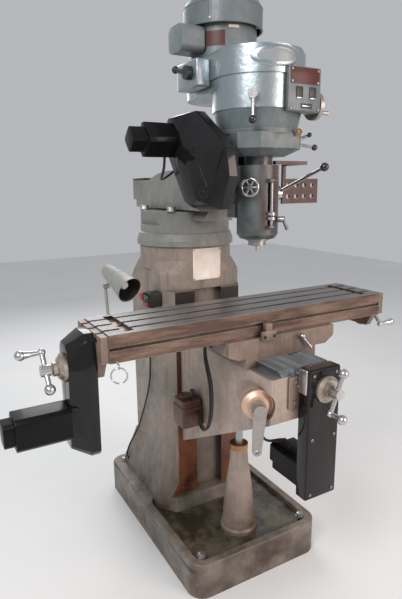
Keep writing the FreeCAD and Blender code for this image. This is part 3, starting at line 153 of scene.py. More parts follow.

# %% [markdown]
# ## A kit for finishes
# Every finish is built the same way: a base colour broken up by noise at two or three sizes, dirt and
# painted shade where surfaces meet, bare metal where edges are rubbed, and roughness and bump to match. A
# small class keeps each recipe short.

# %% Finish kit
class Finish:
    """A material being made. Each call adds a node and returns what comes out of it."""

    def __init__(self, name, roughness=0.5, metallic=0.0, coat=0.0, gleam=0.5):
        self.material = bpy.data.materials.new(name)
        self.material.use_nodes = True
        self.tree = self.material.node_tree
        self.shader = self.tree.nodes["Principled BSDF"]
        self.shader.inputs["Metallic"].default_value = metallic
        self.shader.inputs["Roughness"].default_value = roughness
        self.shader.inputs["Coat Weight"].default_value = coat
        self.shader.inputs["Coat Roughness"].default_value = 0.07
        self.shader.inputs["Specular IOR Level"].default_value = gleam
        self.place = self.add("ShaderNodeTexCoord").outputs["Object"]

    def add(self, kind, **settings):
        node = self.tree.nodes.new(kind)
        for key, value in settings.items():
            setattr(node, key, value)
        return node

    def feed(self, socket, value):
        """Puts a number, a colour or another node's output into a socket."""
        if isinstance(value, bpy.types.NodeSocket):
            self.tree.links.new(value, socket)
        elif isinstance(value, tuple) and len(value) == 3 and len(socket.default_value) == 4:
            socket.default_value = (*value, 1.0)
        else:
            socket.default_value = value

    def fade(self, value, low, high):
        """0 below low, 1 above high, and even in between."""
        node = self.add("ShaderNodeMapRange")
        self.feed(node.inputs["Value"], value)
        node.inputs["From Min"].default_value = low
        node.inputs["From Max"].default_value = high
        return node.outputs["Result"]

    def maths(self, operation, first, second=0.0):
        node = self.add("ShaderNodeMath", operation=operation)
        self.feed(node.inputs[0], first)
        self.feed(node.inputs[1], second)
        return node.outputs["Value"]

    def both(self, first, second):
        return self.maths("MULTIPLY", first, second)

    def either(self, first, second):
        return self.maths("MAXIMUM", first, second)

    def mix(self, factor, first, second):
        node = self.add("ShaderNodeMix", data_type="RGBA")
        self.feed(node.inputs[0], factor)
        self.feed(node.inputs[6], first)
        self.feed(node.inputs[7], second)
        return node.outputs[2]

    def noise(self, scale, low=0.35, high=0.65, detail=6.0, stretch=(1, 1, 1)):
        """Cloudy patches, about 1/scale metres across."""
        mapping = self.add("ShaderNodeMapping")
        self.feed(mapping.inputs["Vector"], self.place)
        mapping.inputs["Scale"].default_value = stretch
        node = self.add("ShaderNodeTexNoise")
        self.feed(node.inputs["Vector"], mapping.outputs["Vector"])
        node.inputs["Scale"].default_value = scale
        node.inputs["Detail"].default_value = detail
        node.inputs["Roughness"].default_value = 0.62
        return self.fade(node.outputs["Fac"], low, high)

    def axis(self, letter):
        """How far along X, Y or Z a point of the surface lies, in metres."""
        split = self.add("ShaderNodeSeparateXYZ")
        self.feed(split.inputs["Vector"], self.place)
        return split.outputs[letter]

    def within(self, letter, low, high, soft=0.002):
        """1 between two places along an axis."""
        after = self.fade(self.axis(letter), low - soft, low + soft)
        before = self.fade(self.axis(letter), high + soft, high - soft)
        return self.both(after, before)

    def rubbed_edges(self, width=0.004, low=0.03, high=0.22):
        """1 along sharp edges, where hands and chips take the finish off."""
        bevel = self.add("ShaderNodeBevel", samples=4)
        bevel.inputs["Radius"].default_value = width
        flat = self.add("ShaderNodeNewGeometry").outputs["Normal"]
        dot = self.add("ShaderNodeVectorMath", operation="DOT_PRODUCT")
        self.feed(dot.inputs[0], bevel.outputs["Normal"])
        self.feed(dot.inputs[1], flat)
        return self.fade(dot.outputs["Value"], 1 - low, 1 - high)

    def corners(self, reach=0.05, low=0.15, high=0.75):
        """1 deep in the corners, found by ambient occlusion: painted shade, with the oil and dust that gather
        there.
        """
        node = self.add("ShaderNodeAmbientOcclusion", samples=6)
        node.inputs["Distance"].default_value = reach
        return self.fade(node.outputs["AO"], 1 - low, 1 - high)

    def shade(self, colour, roughness=None, metallic=None, bump=(), distance=0.0006):
        """Feeds the shader. bump is a list of heights and their shares."""
        self.feed(self.shader.inputs["Base Color"], colour)
        if roughness is not None:
            self.feed(self.shader.inputs["Roughness"], roughness)
        if metallic is not None:
            self.feed(self.shader.inputs["Metallic"], metallic)
        height = None
        for source, share in bump:
            part = self.both(source, share)
            height = part if height is None else self.maths("ADD", height, part)
        if height is not None:
            node = self.add("ShaderNodeBump")
            node.inputs["Distance"].default_value = distance
            self.feed(node.inputs["Height"], height)
            self.feed(self.shader.inputs["Normal"], node.outputs["Normal"])
        return self.material


# %% [markdown]
# ## Painted castings
# Old machine enamel is never one colour. It fades in clouds, oil runs down it in long thin streaks, brown
# grime and painted shade darken the corners, and the iron shows along the edges. The same recipe, with other
# colours, does every painted casting.

# %% Painted castings
IRON = (0.33, 0.31, 0.29)


def painted_casting(name, paint, faded, grime_and_shade, oil=0.5, wear=0.7, roughness=0.42, darker_below=None, ways=None):
    """Worn machine enamel. It can get patchily darker below a given height: on the head that is painted shade.
    """
    f = Finish(name, coat=0.06)
    clouds = f.noise(4.0, 0.38, 0.62)
    mottling = f.noise(26.0, 0.3, 0.72, detail=9)
    specks = f.noise(210.0, 0.60, 0.70, detail=3)
    streaks = f.noise(1.0, 0.54, 0.70, stretch=(26, 26, 1.7))
    drips = f.noise(1.0, 0.60, 0.66, stretch=(60, 60, 3.0))
    colour = f.mix(clouds, paint, faded)
    colour = f.mix(f.both(mottling, 0.28), colour, grime_and_shade)
    dirt = f.both(f.either(streaks, f.both(drips, 0.6)), oil)
    # Ambient occlusion darkens the corners to the grime colour: painted shade, together with the real grime
    # there.
    dirt = f.either(dirt, f.both(f.corners(), 0.85))
    # Patchily darker downwards through the given heights; on the head this is painted shade.
    if darker_below:
        lower_down = f.fade(f.axis("Z"), darker_below[1], darker_below[0])
        patchy = f.noise(7.0, 0.30, 0.62, detail=8)
        dirt = f.either(dirt, f.both(lower_down, patchy))
    colour = f.mix(dirt, colour, grime_and_shade)
    colour = f.mix(f.both(specks, 0.35), colour, tuple(v * 0.45 for v in grime_and_shade))
    chipped = f.both(f.rubbed_edges(), f.noise(34.0, 0.34, 0.60))
    colour = f.mix(f.both(chipped, wear), colour, IRON)
    rough = f.maths("ADD", f.both(mottling, 0.22), roughness)
    rough = f.maths("SUBTRACT", rough, f.both(dirt, 0.16))
    if ways:
        mask, slide_colour = ways(f)
        colour = f.mix(mask, colour, slide_colour)
        rough = f.maths("SUBTRACT", rough, f.both(mask, 0.14))
    grain = f.noise(160.0, 0.2, 0.8, detail=4)
    waves = f.noise(13.0, 0.2, 0.8, detail=2)
    return f.shade(colour, rough, bump=((grain, 0.35), (waves, 1.0), (chipped, -0.5)), distance=0.0011)


def column_ways(f):
    """The scraped faces that the knee slides on: dark, oily red-brown with paler bands, and painted shade near
    their top.
    """
    mask = f.both(f.within("Y", -0.058, -0.0535, 0.0006), f.within("Z", 0.171, 1.071))
    bands = f.noise(1.0, 0.35, 0.65, stretch=(30, 30, 1.2))
    rust = f.noise(5.0, 0.42, 0.60, detail=8)
    colour = f.mix(bands, (0.030, 0.015, 0.011), (0.125, 0.048, 0.028))
    low = f.fade(f.axis("Z"), 0.62, 0.40)
    colour = f.mix(f.both(f.both(rust, low), 0.8), colour, (0.24, 0.080, 0.034))
    # Nearly black from 0.90 m up: painted shade above the knee.
    colour = f.mix(f.fade(f.axis("Z"), 0.90, 0.99), colour, (0.030, 0.022, 0.018))
    return mask, colour


def base_tray(f):
    """The wet floor of the chip tray."""
    mask = f.both(f.within("Z", 0.100, 0.1195, 0.0008), f.within("Y", -0.43, 0.03))
    puddles = f.noise(9.0, 0.42, 0.56, detail=7)
    return mask, f.mix(puddles, (0.095, 0.085, 0.055), (0.030, 0.022, 0.015))


def knee_ways(f):
    """The bright, oily slides on top of the knee."""
    mask = f.fade(f.axis("Z"), 0.8995, 0.9003)
    smears = f.noise(1.0, 0.36, 0.64, stretch=(40, 3, 40))
    return mask, f.mix(smears, (0.060, 0.068, 0.078), (0.20, 0.22, 0.24))


def quill_front(f):
    """Old brown oil on the front of the quill housing, round the depth stop."""
    front = f.both(f.within("X", -0.034, 0.040, 0.012), f.within("Z", 1.345, 1.565, 0.02))
    front = f.both(front, f.fade(f.axis("Y"), -0.428, -0.440))
    patches = f.noise(1.0, 0.34, 0.60, detail=7, stretch=(40, 40, 9))
    oil = f.mix(patches, (0.022, 0.014, 0.011), (0.085, 0.040, 0.028))
    return f.both(front, f.fade(patches, -0.4, 1.0)), oil


def both_column(f):
    """The column's slides and the base's tray together."""
    slide_mask, slide_colour = column_ways(f)
    tray_mask, tray_colour = base_tray(f)
    return f.either(slide_mask, tray_mask), f.mix(tray_mask, slide_colour, tray_colour)


OIL_AND_SHADE_BROWN = (0.055, 0.036, 0.022)
finishes = {}
finishes["column_paint"] = painted_casting("column_paint", (0.225, 0.200, 0.172), (0.350, 0.272, 0.225),
                                           OIL_AND_SHADE_BROWN, oil=0.50, wear=0.25, darker_below=(0.13, 0.46),
                                           ways=both_column)
finishes["knee_paint"] = painted_casting("knee_paint", (0.390, 0.315, 0.270), (0.500, 0.385, 0.325),
                                         (0.110, 0.062, 0.038), oil=0.42, ways=knee_ways)
finishes["stand_paint"] = painted_casting("stand_paint", (0.330, 0.270, 0.225), (0.400, 0.310, 0.255),
                                          (0.080, 0.044, 0.026), oil=0.55, darker_below=(0.12, 0.40))
finishes["turret_paint"] = painted_casting("turret_paint", (0.205, 0.215, 0.200), (0.270, 0.270, 0.250),
                                           (0.085, 0.055, 0.040), oil=0.30)
# The head darkens below 1.62 m: painted shade over its quill housing.
finishes["head_paint"] = painted_casting("head_paint", (0.118, 0.148, 0.155), (0.175, 0.205, 0.210),
                                         (0.030, 0.024, 0.020), oil=0.30, roughness=0.34,
                                         darker_below=(1.40, 1.62), ways=quill_front)
finishes["motor_paint"] = painted_casting("motor_paint", (0.130, 0.156, 0.168), (0.178, 0.208, 0.218),
                                          (0.050, 0.044, 0.040), oil=0.18, wear=0.45, roughness=0.34)
finishes["saddle_iron"] = painted_casting("saddle_iron", (0.180, 0.122, 0.092), (0.300, 0.220, 0.180),
                                          (0.050, 0.027, 0.016), oil=0.6, wear=0.8, roughness=0.38)
finishes["oiler_paint"] = painted_casting("oiler_paint", (0.085, 0.027, 0.016), (0.125, 0.045, 0.028),
                                          (0.030, 0.015, 0.010), oil=0.7, roughness=0.28)
finishes["rack_paint"] = painted_casting("rack_paint", (0.085, 0.026, 0.020), (0.125, 0.060, 0.050),
                                         (0.035, 0.025, 0.022), oil=0.4, roughness=0.36)
finishes["lamp_paint"] = painted_casting("lamp_paint", (0.300, 0.315, 0.285), (0.350, 0.350, 0.315),
                                         (0.110, 0.095, 0.075), oil=0.12, wear=0.3, roughness=0.36)
print("painted finishes", len(finishes))

# %% [markdown]
# ## Bare metals
# Turned and ground parts are metallic, with fine lines along the way they were cut and brown varnish where
# oil has dried. Cast aluminium is duller and has a soft, cloudy grain.

# %% Bare metals
def bare_metal(name, metal, stain_and_shade, roughness, stained=0.35, stretch=(1, 1, 1), grain=90.0, depth=0.0003):
    """Bright metal with fine lines, patches of dried oil, and painted shade in the stain colour in its corners.
    """
    f = Finish(name, metallic=0.95)
    lines = f.noise(grain, 0.25, 0.75, detail=4, stretch=stretch)
    patches = f.noise(14.0, 0.45, 0.68, detail=8)
    # The stain colour goes on in patches, and by ambient occlusion into the corners, where it is painted shade.
    dirt = f.either(f.both(patches, stained), f.both(f.corners(0.02), 0.7))
    colour = f.mix(f.both(lines, 0.30), metal, tuple(v * 0.62 for v in metal))
    colour = f.mix(dirt, colour, stain_and_shade)
    rough = f.maths("ADD", f.both(lines, 0.12), roughness)
    rough = f.maths("ADD", rough, f.both(dirt, 0.22))
    metallic = f.fade(dirt, 1.3, 0.0)
    return f.shade(colour, rough, metallic=metallic, bump=((lines, 0.6), (patches, 0.5)), distance=depth)


def planed_table(name):
    """The table: dark planed iron on top, brown oily sides, bright edges and painted shade in slots and
    corners.
    """
    f = Finish(name, metallic=0.55)
    cut_lines = f.noise(1.0, 0.3, 0.7, detail=5, stretch=(3, 210, 60))
    wear = f.noise(5.0, 0.35, 0.66, detail=8)
    chips = f.noise(130.0, 0.62, 0.70, detail=3)
    top = f.fade(f.axis("Z"), 1.0832, 1.0838)
    face = f.mix(wear, (0.115, 0.112, 0.110), (0.205, 0.205, 0.205))
    face = f.mix(f.both(cut_lines, 0.35), face, (0.060, 0.058, 0.058))
    smears = f.noise(1.0, 0.40, 0.62, detail=7, stretch=(4, 20, 26))
    side = f.mix(smears, (0.110, 0.066, 0.050), (0.290, 0.195, 0.150))
    colour = f.mix(top, side, face)
    edges = f.rubbed_edges(0.003, 0.05, 0.25)
    colour = f.mix(f.both(edges, 0.75), colour, (0.46, 0.43, 0.40))
    # Near black by ambient occlusion in the T-slots and corners: painted shade; chips add real dark specks.
    dirt = f.either(f.both(f.corners(0.022, 0.25, 0.8), 0.9), f.both(chips, 0.5))
    colour = f.mix(dirt, colour, (0.022, 0.016, 0.013))
    rough = f.maths("ADD", f.both(wear, 0.16), 0.27)
    return f.shade(colour, rough, bump=((cut_lines, 0.5), (wear, 0.8), (chips, 0.4)), distance=0.0004)


VARNISH_AND_SHADE = (0.20, 0.125, 0.075)
finishes["polished_steel"] = bare_metal("polished_steel", (0.62, 0.62, 0.63), (0.22, 0.18, 0.15), 0.16)
finishes["ground_steel"] = bare_metal("ground_steel", (0.42, 0.41, 0.41), VARNISH_AND_SHADE, 0.26, stretch=(1, 1, 9))
finishes["dial_metal"] = bare_metal("dial_metal", (0.52, 0.46, 0.40), VARNISH_AND_SHADE, 0.30, stained=0.55)
finishes["amber_dial"] = bare_metal("amber_dial", (0.86, 0.62, 0.48), (0.52, 0.29, 0.17), 0.46, stained=0.5)
finishes["grey_lever"] = bare_metal("grey_lever", (0.47, 0.44, 0.41), (0.24, 0.19, 0.15), 0.38, stained=0.5)
finishes["bright_aluminium"] = bare_metal("bright_aluminium", (0.44, 0.50, 0.53), (0.15, 0.15, 0.14), 0.25,
                                          stained=0.38, grain=60.0, depth=0.0006)
finishes["bronze"] = bare_metal("bronze", (0.50, 0.27, 0.14), (0.10, 0.05, 0.03), 0.34, stained=0.6)
finishes["table_iron"] = planed_table("table_iron")
print("metals made")

# %% [markdown]
# ## Black enamel, plastics, rubber
# Gloss black shows everything that lies on it, so these finishes are mostly dust, smears and small
# scratches.

# %% Blacks and plastics
def dusty_gloss(name, colour, dust, roughness, coat=0.5, dusty=0.22, scratches=0.4, gleam=0.5):
    """A glossy skin under a film of dust."""
    f = Finish(name, coat=coat, gleam=gleam)
    film = f.noise(8.0, 0.40, 0.72, detail=8)
    smears = f.noise(1.0, 0.50, 0.72, detail=6, stretch=(30, 30, 5))
    fine = f.noise(150.0, 0.45, 0.75, detail=4)
    worn = f.rubbed_edges(0.003, 0.06, 0.30)
    dirt = f.both(f.either(film, smears), dusty)
    tone = f.mix(dirt, colour, dust)
    tone = f.mix(f.both(fine, 0.05), tone, dust)
    tone = f.mix(f.both(f.both(worn, f.noise(40.0, 0.4, 0.6)), scratches), tone, tuple(v * 3.2 for v in dust))
    rough = f.maths("ADD", f.both(dirt, 0.5), roughness)
    return f.shade(tone, rough, bump=((fine, 0.3), (film, 0.6)), distance=0.0004)


finishes["black_enamel"] = dusty_gloss("black_enamel", (0.003, 0.003, 0.004), (0.040, 0.030, 0.026), 0.16,
                                       coat=0.55, gleam=0.12, scratches=0.9)
finishes["black_motor_paint"] = dusty_gloss("black_motor_paint", (0.003, 0.003, 0.003), (0.020, 0.018, 0.018),
                                            0.34, coat=0.10, gleam=0.14)
finishes["black_plastic"] = dusty_gloss("black_plastic", (0.014, 0.014, 0.014), (0.070, 0.066, 0.060), 0.40,
                                        coat=0.0)
finishes["red_button"] = dusty_gloss("red_button", (0.45, 0.020, 0.022), (0.30, 0.12, 0.10), 0.24, dusty=0.25)
finishes["green_button"] = dusty_gloss("green_button", (0.020, 0.180, 0.080), (0.10, 0.20, 0.14), 0.24,
                                       dusty=0.25)
finishes["black_rubber"] = dusty_gloss("black_rubber", (0.014, 0.014, 0.014), (0.085, 0.078, 0.068), 0.46,
                                       coat=0.0)
finishes["black_ball"] = dusty_gloss("black_ball", (0.010, 0.010, 0.010), (0.070, 0.066, 0.064), 0.14,
                                     dusty=0.18)
finishes["frosted_glass"] = dusty_gloss("frosted_glass", (0.72, 0.71, 0.66), (0.48, 0.44, 0.38), 0.18,
                                        dusty=0.25, scratches=0.0)
finishes["badge_grey"] = dusty_gloss("badge_grey", (0.24, 0.26, 0.28), (0.34, 0.33, 0.31), 0.32, coat=0.1)
finishes["cream_plate"] = dusty_gloss("cream_plate", (0.88, 0.79, 0.71), (0.52, 0.38, 0.29), 0.34, coat=0.1,
                                      dusty=0.5, scratches=0.2)
finishes["red_plate"] = dusty_gloss("red_plate", (0.085, 0.018, 0.018), (0.14, 0.10, 0.09), 0.34, coat=0.05,
                                    gleam=0.25)
print("finishes", len(finishes))

# %% [markdown]
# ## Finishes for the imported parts
# Each part names a material slot in the record. A slot may cover several castings that have aged
# differently, so a second table gives those parts a finish of their own.

# %% Finishes on the parts
SLOT_FINISH = {
    "grey_green_paint": "head_paint", "oily_iron": "saddle_iron", "table_steel": "table_iron",
    "bright_aluminium": "bright_aluminium", "black_enamel": "black_enamel",
    "black_motor_paint": "black_motor_paint", "polished_steel": "polished_steel",
    "ground_steel": "ground_steel",
    "dial_metal": "dial_metal", "amber_dial": "amber_dial", "grey_lever": "grey_lever", "bronze": "bronze",
    "oiler_red_brown": "oiler_paint", "rack_red": "rack_paint", "black_plastic": "black_plastic",
    "red_button": "red_button", "green_button": "green_button", "lamp_paint": "lamp_paint",
    "black_rubber": "black_rubber",
}
OWN_FINISH = {
    "column_base": "column_paint", "knee": "knee_paint", "elevating_pedestal": "stand_paint",
    "turret": "turret_paint", "ram": "turret_paint", "knuckle": "turret_paint", "motor": "motor_paint",
    "motor_fan_cap": "motor_paint", "terminal_box": "motor_paint",
}
slot_of = {row["node"]: row["material_slot"] for row in frame["record"]["subparts"]}
body_nodes = frame["record"]["behaviour"]["bodies"]
body_of_node = {node: body for body, nodes in body_nodes.items() for node in nodes}


def wear_finish(piece, finish):
    """Gives a piece one finish."""
    piece.data.materials.clear()
    piece.data.materials.append(finishes[finish])


for node, part in frame["nodes"].items():
    wear_finish(part, OWN_FINISH.get(node, SLOT_FINISH[slot_of[node]]))
for piece in cords.values():
    wear_finish(piece, "black_rubber")
print("parts with a finish", len(frame["nodes"]))

# %% [markdown]
# ## Small tools for modelling
# Most small parts of a machine are turned: their shape is a profile swept round an axis. Starting from a
# circle and extruding it upwards, with a new radius at every step, makes any of them. Flat parts start as a
# block whose edges are bevelled. Every piece then gets a finish and the body that it moves with.

# %% Modelling tools
def only(piece):
    """Makes a piece the only selected one."""
    bpy.ops.object.select_all(action="DESELECT")
    piece.select_set(True)
    bpy.context.view_layer.objects.active = piece


def round_edges(piece, width, segments=2, angle=35):
    """Rounds every sharp edge."""
    only(piece)
    bevel = piece.modifiers.new("edges", "BEVEL")
    bevel.width = width
    bevel.segments = segments
    bevel.limit_method = "ANGLE"
    bevel.angle_limit = math.radians(angle)
    bpy.ops.object.modifier_apply(modifier="edges")


def settle(piece, name, body, finish, edge=0.0, segments=2):
    """Fixes a new piece in place, rounds its edges, smooths it and gives it a finish and a body."""
    only(piece)
    bpy.ops.object.transform_apply(location=True, rotation=True, scale=True)
    bpy.ops.object.mode_set(mode="EDIT")
    bpy.ops.mesh.select_all(action="SELECT")
    bpy.ops.mesh.remove_doubles(threshold=0.00001)
    bpy.ops.mesh.normals_make_consistent(inside=False)
    bpy.ops.object.mode_set(mode="OBJECT")
    if edge:
        round_edges(piece, edge, segments)
    only(piece)
    bpy.ops.object.shade_smooth_by_angle(angle=math.radians(38))
    piece.name = name
    wear_finish(piece, finish)
    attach(piece, body)
    return piece


def aim(piece, place, axis):
    """Turns a piece that stands along Z to another axis and puts it in its place."""
    piece.rotation_mode = "QUATERNION"
    piece.rotation_quaternion = Vector((0, 0, 1)).rotation_difference(Vector(axis))
    piece.location = place


def lathed(name, steps, place, axis, body, finish, sides=32, fill="NGON", edge=0.0):
    """A turned part. steps are (radius, height) pairs along its axis."""
    radius, height = steps[0]
    bpy.ops.object.select_all(action="DESELECT")
    bpy.ops.mesh.primitive_circle_add(vertices=sides, radius=radius, fill_type=fill, location=(0, 0, 0))
    piece = bpy.context.object
    bpy.ops.object.mode_set(mode="EDIT")
    bpy.ops.mesh.select_all(action="SELECT")
    bpy.ops.transform.translate(value=(0, 0, height))
    for new_radius, new_height in steps[1:]:
        bpy.ops.mesh.extrude_region_move(TRANSFORM_OT_translate={"value": (0, 0, new_height - height)})
        factor = new_radius / radius
        bpy.ops.transform.resize(value=(factor, factor, 1), center_override=(0, 0, new_height))
        radius, height = new_radius, new_height
    bpy.ops.object.mode_set(mode="OBJECT")
    aim(piece, place, axis)
    return settle(piece, name, body, finish, edge)


def block(name, low, high, body, finish, edge=0.001, segments=2):
    """A flat or square part between two corners, with its edges rounded."""
    low, high = Vector(low), Vector(high)
    bpy.ops.object.select_all(action="DESELECT")
    bpy.ops.mesh.primitive_cube_add(size=1, location=(low + high) / 2, scale=high - low)
    return settle(bpy.context.object, name, body, finish, edge, segments)


def again(piece, name, offset):
    """The same piece once more, with its own mesh, somewhere else on the same body."""
    twin = piece.copy()
    twin.data = piece.data.copy()
    twin.data.transform(Matrix.Translation(Vector(offset)))
    twin.name = name
    bpy.context.collection.objects.link(twin)
    return twin


def hex_bolt(name, place, axis, body, finish, across=0.017, height=0.012):
    """A hexagon bolt head with a washer under it."""
    return lathed(name, [(across * 0.66, 0), (across * 0.66, height * 0.18), (across * 0.56, height * 0.20),
                         (across * 0.56, height * 0.92), (across * 0.47, height)], place, axis, body, finish,
                  sides=6, edge=0.0004)


def cap_screw(name, place, axis, body, finish, radius=0.005, height=0.005):
    """A socket screw: a round head with a hole in its top."""
    return lathed(name, [(radius, -0.001), (radius, height * 0.85), (radius * 0.86, height),
                         (radius * 0.5, height), (radius * 0.42, height * 0.35)], place, axis, body, finish,
                  sides=20)


print("modelling tools ready")

# %% [markdown]
# ## Softer edges on the castings
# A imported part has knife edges, but a real cover is cast or moulded and none of its edges is sharp. A copy
# of the part's mesh is merged, its flat faces are made whole, its edges are bevelled, and it stands for the
# part.

# %% Softened parts
def softened(node, width, segments=3, angle=30):
    """A copy of a part with rounded edges, which stands for the part."""
    piece = bpy.data.objects.new(node + "_shell", frame["nodes"][node].data.copy())
    bpy.context.collection.objects.link(piece)
    only(piece)
    bpy.ops.mesh.customdata_custom_splitnormals_clear()
    bpy.ops.object.mode_set(mode="EDIT")
    bpy.ops.mesh.select_all(action="SELECT")
    bpy.ops.mesh.remove_doubles(threshold=0.00001)
    bpy.ops.mesh.dissolve_limited(angle_limit=math.radians(0.4))
    bpy.ops.mesh.normals_make_consistent(inside=False)
    bpy.ops.object.mode_set(mode="OBJECT")
    round_edges(piece, width, segments, angle)
    only(piece)
    bpy.ops.object.shade_smooth_by_angle(angle=math.radians(40))
    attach(piece, body_of_node[node])
    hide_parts(node)
    return piece


SOFT_EDGES = {
    "x_drive_housing": 0.007, "y_drive_housing": 0.004, "z_drive_housing": 0.008,
    "x_motor": 0.003, "y_motor": 0.003, "z_motor": 0.003, "lube_tank": 0.004, "button_box": 0.0025,
    "drum_switch": 0.006, "terminal_box": 0.006, "speed_box": 0.003,
}
shells = {node: softened(node, width) for node, width in SOFT_EDGES.items()}
print("softened", {node: len(piece.data.polygons) for node, piece in shells.items()})

# %% [markdown]
# ## Column and turret
# A blank data plate sits on the flat in front of the turret joint, four big bolts clamp the turret, and
# levelling screws stand in the base's corners.

# %% Plate and bolts
plate = block("data_plate", (-0.061, -0.0436, 1.109), (0.068, -0.0418, 1.237), "column", "cream_plate",
              0.0008)
only(plate)
bpy.ops.object.mode_set(mode="EDIT")
bpy.ops.mesh.select_all(action="DESELECT")
bpy.ops.object.mode_set(mode="OBJECT")
front = min(plate.data.polygons, key=lambda face: face.center.y - face.area)
front.select = True
bpy.ops.object.mode_set(mode="EDIT")
bpy.ops.mesh.inset(thickness=0.005, depth=0)
bpy.ops.mesh.inset(thickness=0.0012, depth=-0.0006)
bpy.ops.object.mode_set(mode="OBJECT")
for i, (x, z) in enumerate(((-0.056, 1.114), (0.063, 1.114), (-0.056, 1.232), (0.063, 1.232))):
    cap_screw("plate_screw_%d" % i, (x, -0.0436, z), (0, -1, 0), "column", "ground_steel", 0.0035, 0.0016)
turret_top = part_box("turret")[1].z
CLAMPS = [(-0.128, 0.006), (0.128, 0.006), (-0.128, 0.272), (0.128, 0.272)]
bolt = hex_bolt("turret_bolt_0", (*CLAMPS[0], turret_top), (0, 0, 1), "turret", "ground_steel", 0.034, 0.020)
for i, (x, y) in enumerate(CLAMPS[1:], 1):
    again(bolt, "turret_bolt_%d" % i, (x - CLAMPS[0][0], y - CLAMPS[0][1], 0))
ANCHORS = [(-0.235, -0.395), (0.235, -0.395), (-0.235, 0.395), (0.235, 0.395)]
anchor = hex_bolt("levelling_screw_0", (*ANCHORS[0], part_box("column_base")[0].z + 0.140), (0, 0, 1), "column",
                  "ground_steel", 0.026, 0.014)
for i, (x, y) in enumerate(ANCHORS[1:], 1):
    again(anchor, "levelling_screw_%d" % i, (x - ANCHORS[0][0], y - ANCHORS[0][1], 0))
print("turret bolts at", turret_top)

# %% [markdown]
# ## Work lamp
# The shade is thin spun metal, open at its mouth, enamelled outside and black inside, round a frosted bulb.
# It is turned as an open shell, and a second shell just inside it carries the black.

# %% Lamp
LAMP_JOINT = Vector((-0.398, 0.060, 1.105))
LAMP_BACK = LAMP_JOINT + Vector((0.010, -0.006, 0.062))
LAMP_MOUTH = LAMP_JOINT + Vector((0.048, -0.141, 0.0025))
lamp_run = (LAMP_MOUTH - LAMP_BACK).normalized()
reach = (LAMP_MOUTH - LAMP_BACK).length
hood = lathed("lamp_hood", [(0.010, -0.016), (0.014, -0.0155), (0.0255, -0.002), (0.027, 0.002),
                            (0.040, reach * 0.55), (0.0505, reach - 0.003), (0.052, reach - 0.001),
                            (0.0515, reach), (0.0495, reach - 0.0005), (0.0485, reach - 0.003)],
              LAMP_BACK, lamp_run, "lamp_head", "lamp_paint", 48, "NOTHING")
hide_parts("lamp_shade")
lathed("lamp_lining", [(0.0485, reach - 0.003), (0.038, reach * 0.55), (0.025, 0.003), (0.010, 0.001)],
       LAMP_BACK, lamp_run, "lamp_head", "black_plastic", 48, "NOTHING")
lathed("lamp_socket", [(0.011, 0.0), (0.0125, 0.004), (0.0125, 0.064), (0.0115, 0.070)], LAMP_BACK, lamp_run,
       "lamp_head", "grey_lever", 32, edge=0.0005)
lathed("lamp_bulb", [(0.0095, 0.069), (0.011, 0.078), (0.0165, 0.090), (0.0190, 0.102), (0.0180, 0.113),
                     (0.0135, 0.121), (0.0050, 0.1245)], LAMP_BACK, lamp_run, "lamp_head", "frosted_glass",
       32)
lathed("lamp_ear", [(0.0095, 0.0), (0.010, 0.0008), (0.010, 0.0078), (0.0085, 0.0087)],
       LAMP_JOINT + Vector((0.0073, 0, 0)), (1, 0, 0), "lamp_head", "lamp_paint")
ear_place = LAMP_JOINT + Vector((0.0125, 0, 0))
stalk_end = LAMP_BACK + lamp_run * 0.010
lathed("lamp_stalk", [(0.0042, 0.0), (0.0045, 0.001), (0.0045, (stalk_end - ear_place).length)], ear_place,
       stalk_end - ear_place, "lamp_head", "lamp_paint")
print("lamp reach", round(reach, 4))

# %% [markdown]
# ## Front of the knee and the cross drive
# A chrome fork steadies the drive's belt case, socket screws close it, and a steel plate joins it to the
# knee.

# %% Knee front
case_low, case_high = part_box("y_drive_housing")
face_y = case_low.y
for i, (x, z) in enumerate(((0.000, 0.905), (0.092, 0.905), (0.000, 0.690), (0.092, 0.690), (0.000, 0.494),
                            (0.092, 0.494))):
    cap_screw("case_screw_%d" % i, (x, face_y, z), (0, -1, 0), "knee", "ground_steel", 0.0048, 0.003)
block("case_plate", (-0.062, -0.6625, 0.792), (-0.012, -0.6548, 0.898), "knee", "saddle_iron", 0.0015)
for i, z in enumerate((0.810, 0.880)):
    cap_screw("plate_bolt_%d" % i, (-0.040, -0.6625, z), (0, -1, 0), "knee", "ground_steel", 0.006, 0.005)
block("fork_upright", (-0.0285, -0.700, 0.846), (-0.0205, -0.664, 0.925), "knee", "polished_steel", 0.002)
for i, z in enumerate((0.862, 0.908)):
    lathed("fork_arm_%d" % i, [(0.0050, 0), (0.0056, 0.001), (0.0056, 0.026), (0.0040, 0.027)],
           (-0.0245, -0.664, z), (0.10, 1, -0.25 if i else 0.25), "knee", "polished_steel", 20)
print("case face at", round(face_y, 4))

# %% [markdown]
# ## Table fittings
# A stop bracket stands on the saddle's front, and a screw eye carries the loose ring.

# %% Table fittings
block("stop_bracket", (-0.086, -0.552, 0.990), (-0.030, -0.5403, 1.022), "saddle", "saddle_iron", 0.002)
block("stop_lug", (-0.070, -0.5505, 1.018), (-0.046, -0.530, 1.046), "saddle", "saddle_iron", 0.0015)
for i, x in enumerate((-0.077, -0.039)):
    cap_screw("stop_screw_%d" % i, (x, -0.552, 1.004), (0, -1, 0), "saddle", "black_plastic", 0.005, 0.004)
lathed("screw_eye_stem", [(0.0022, 0), (0.0022, 0.009), (0.0036, 0.010), (0.0036, 0.012)],
       (-0.570, -0.5345, 0.9985), (0, 1, 0.25), "table", "polished_steel", 16)
bpy.ops.object.select_all(action="DESELECT")
bpy.ops.mesh.primitive_torus_add(major_radius=0.0062, minor_radius=0.0019, major_segments=28,
                                 minor_segments=12, location=(-0.570, -0.5362, 0.9925),
                                 rotation=(0, math.pi / 2, math.radians(-24)))
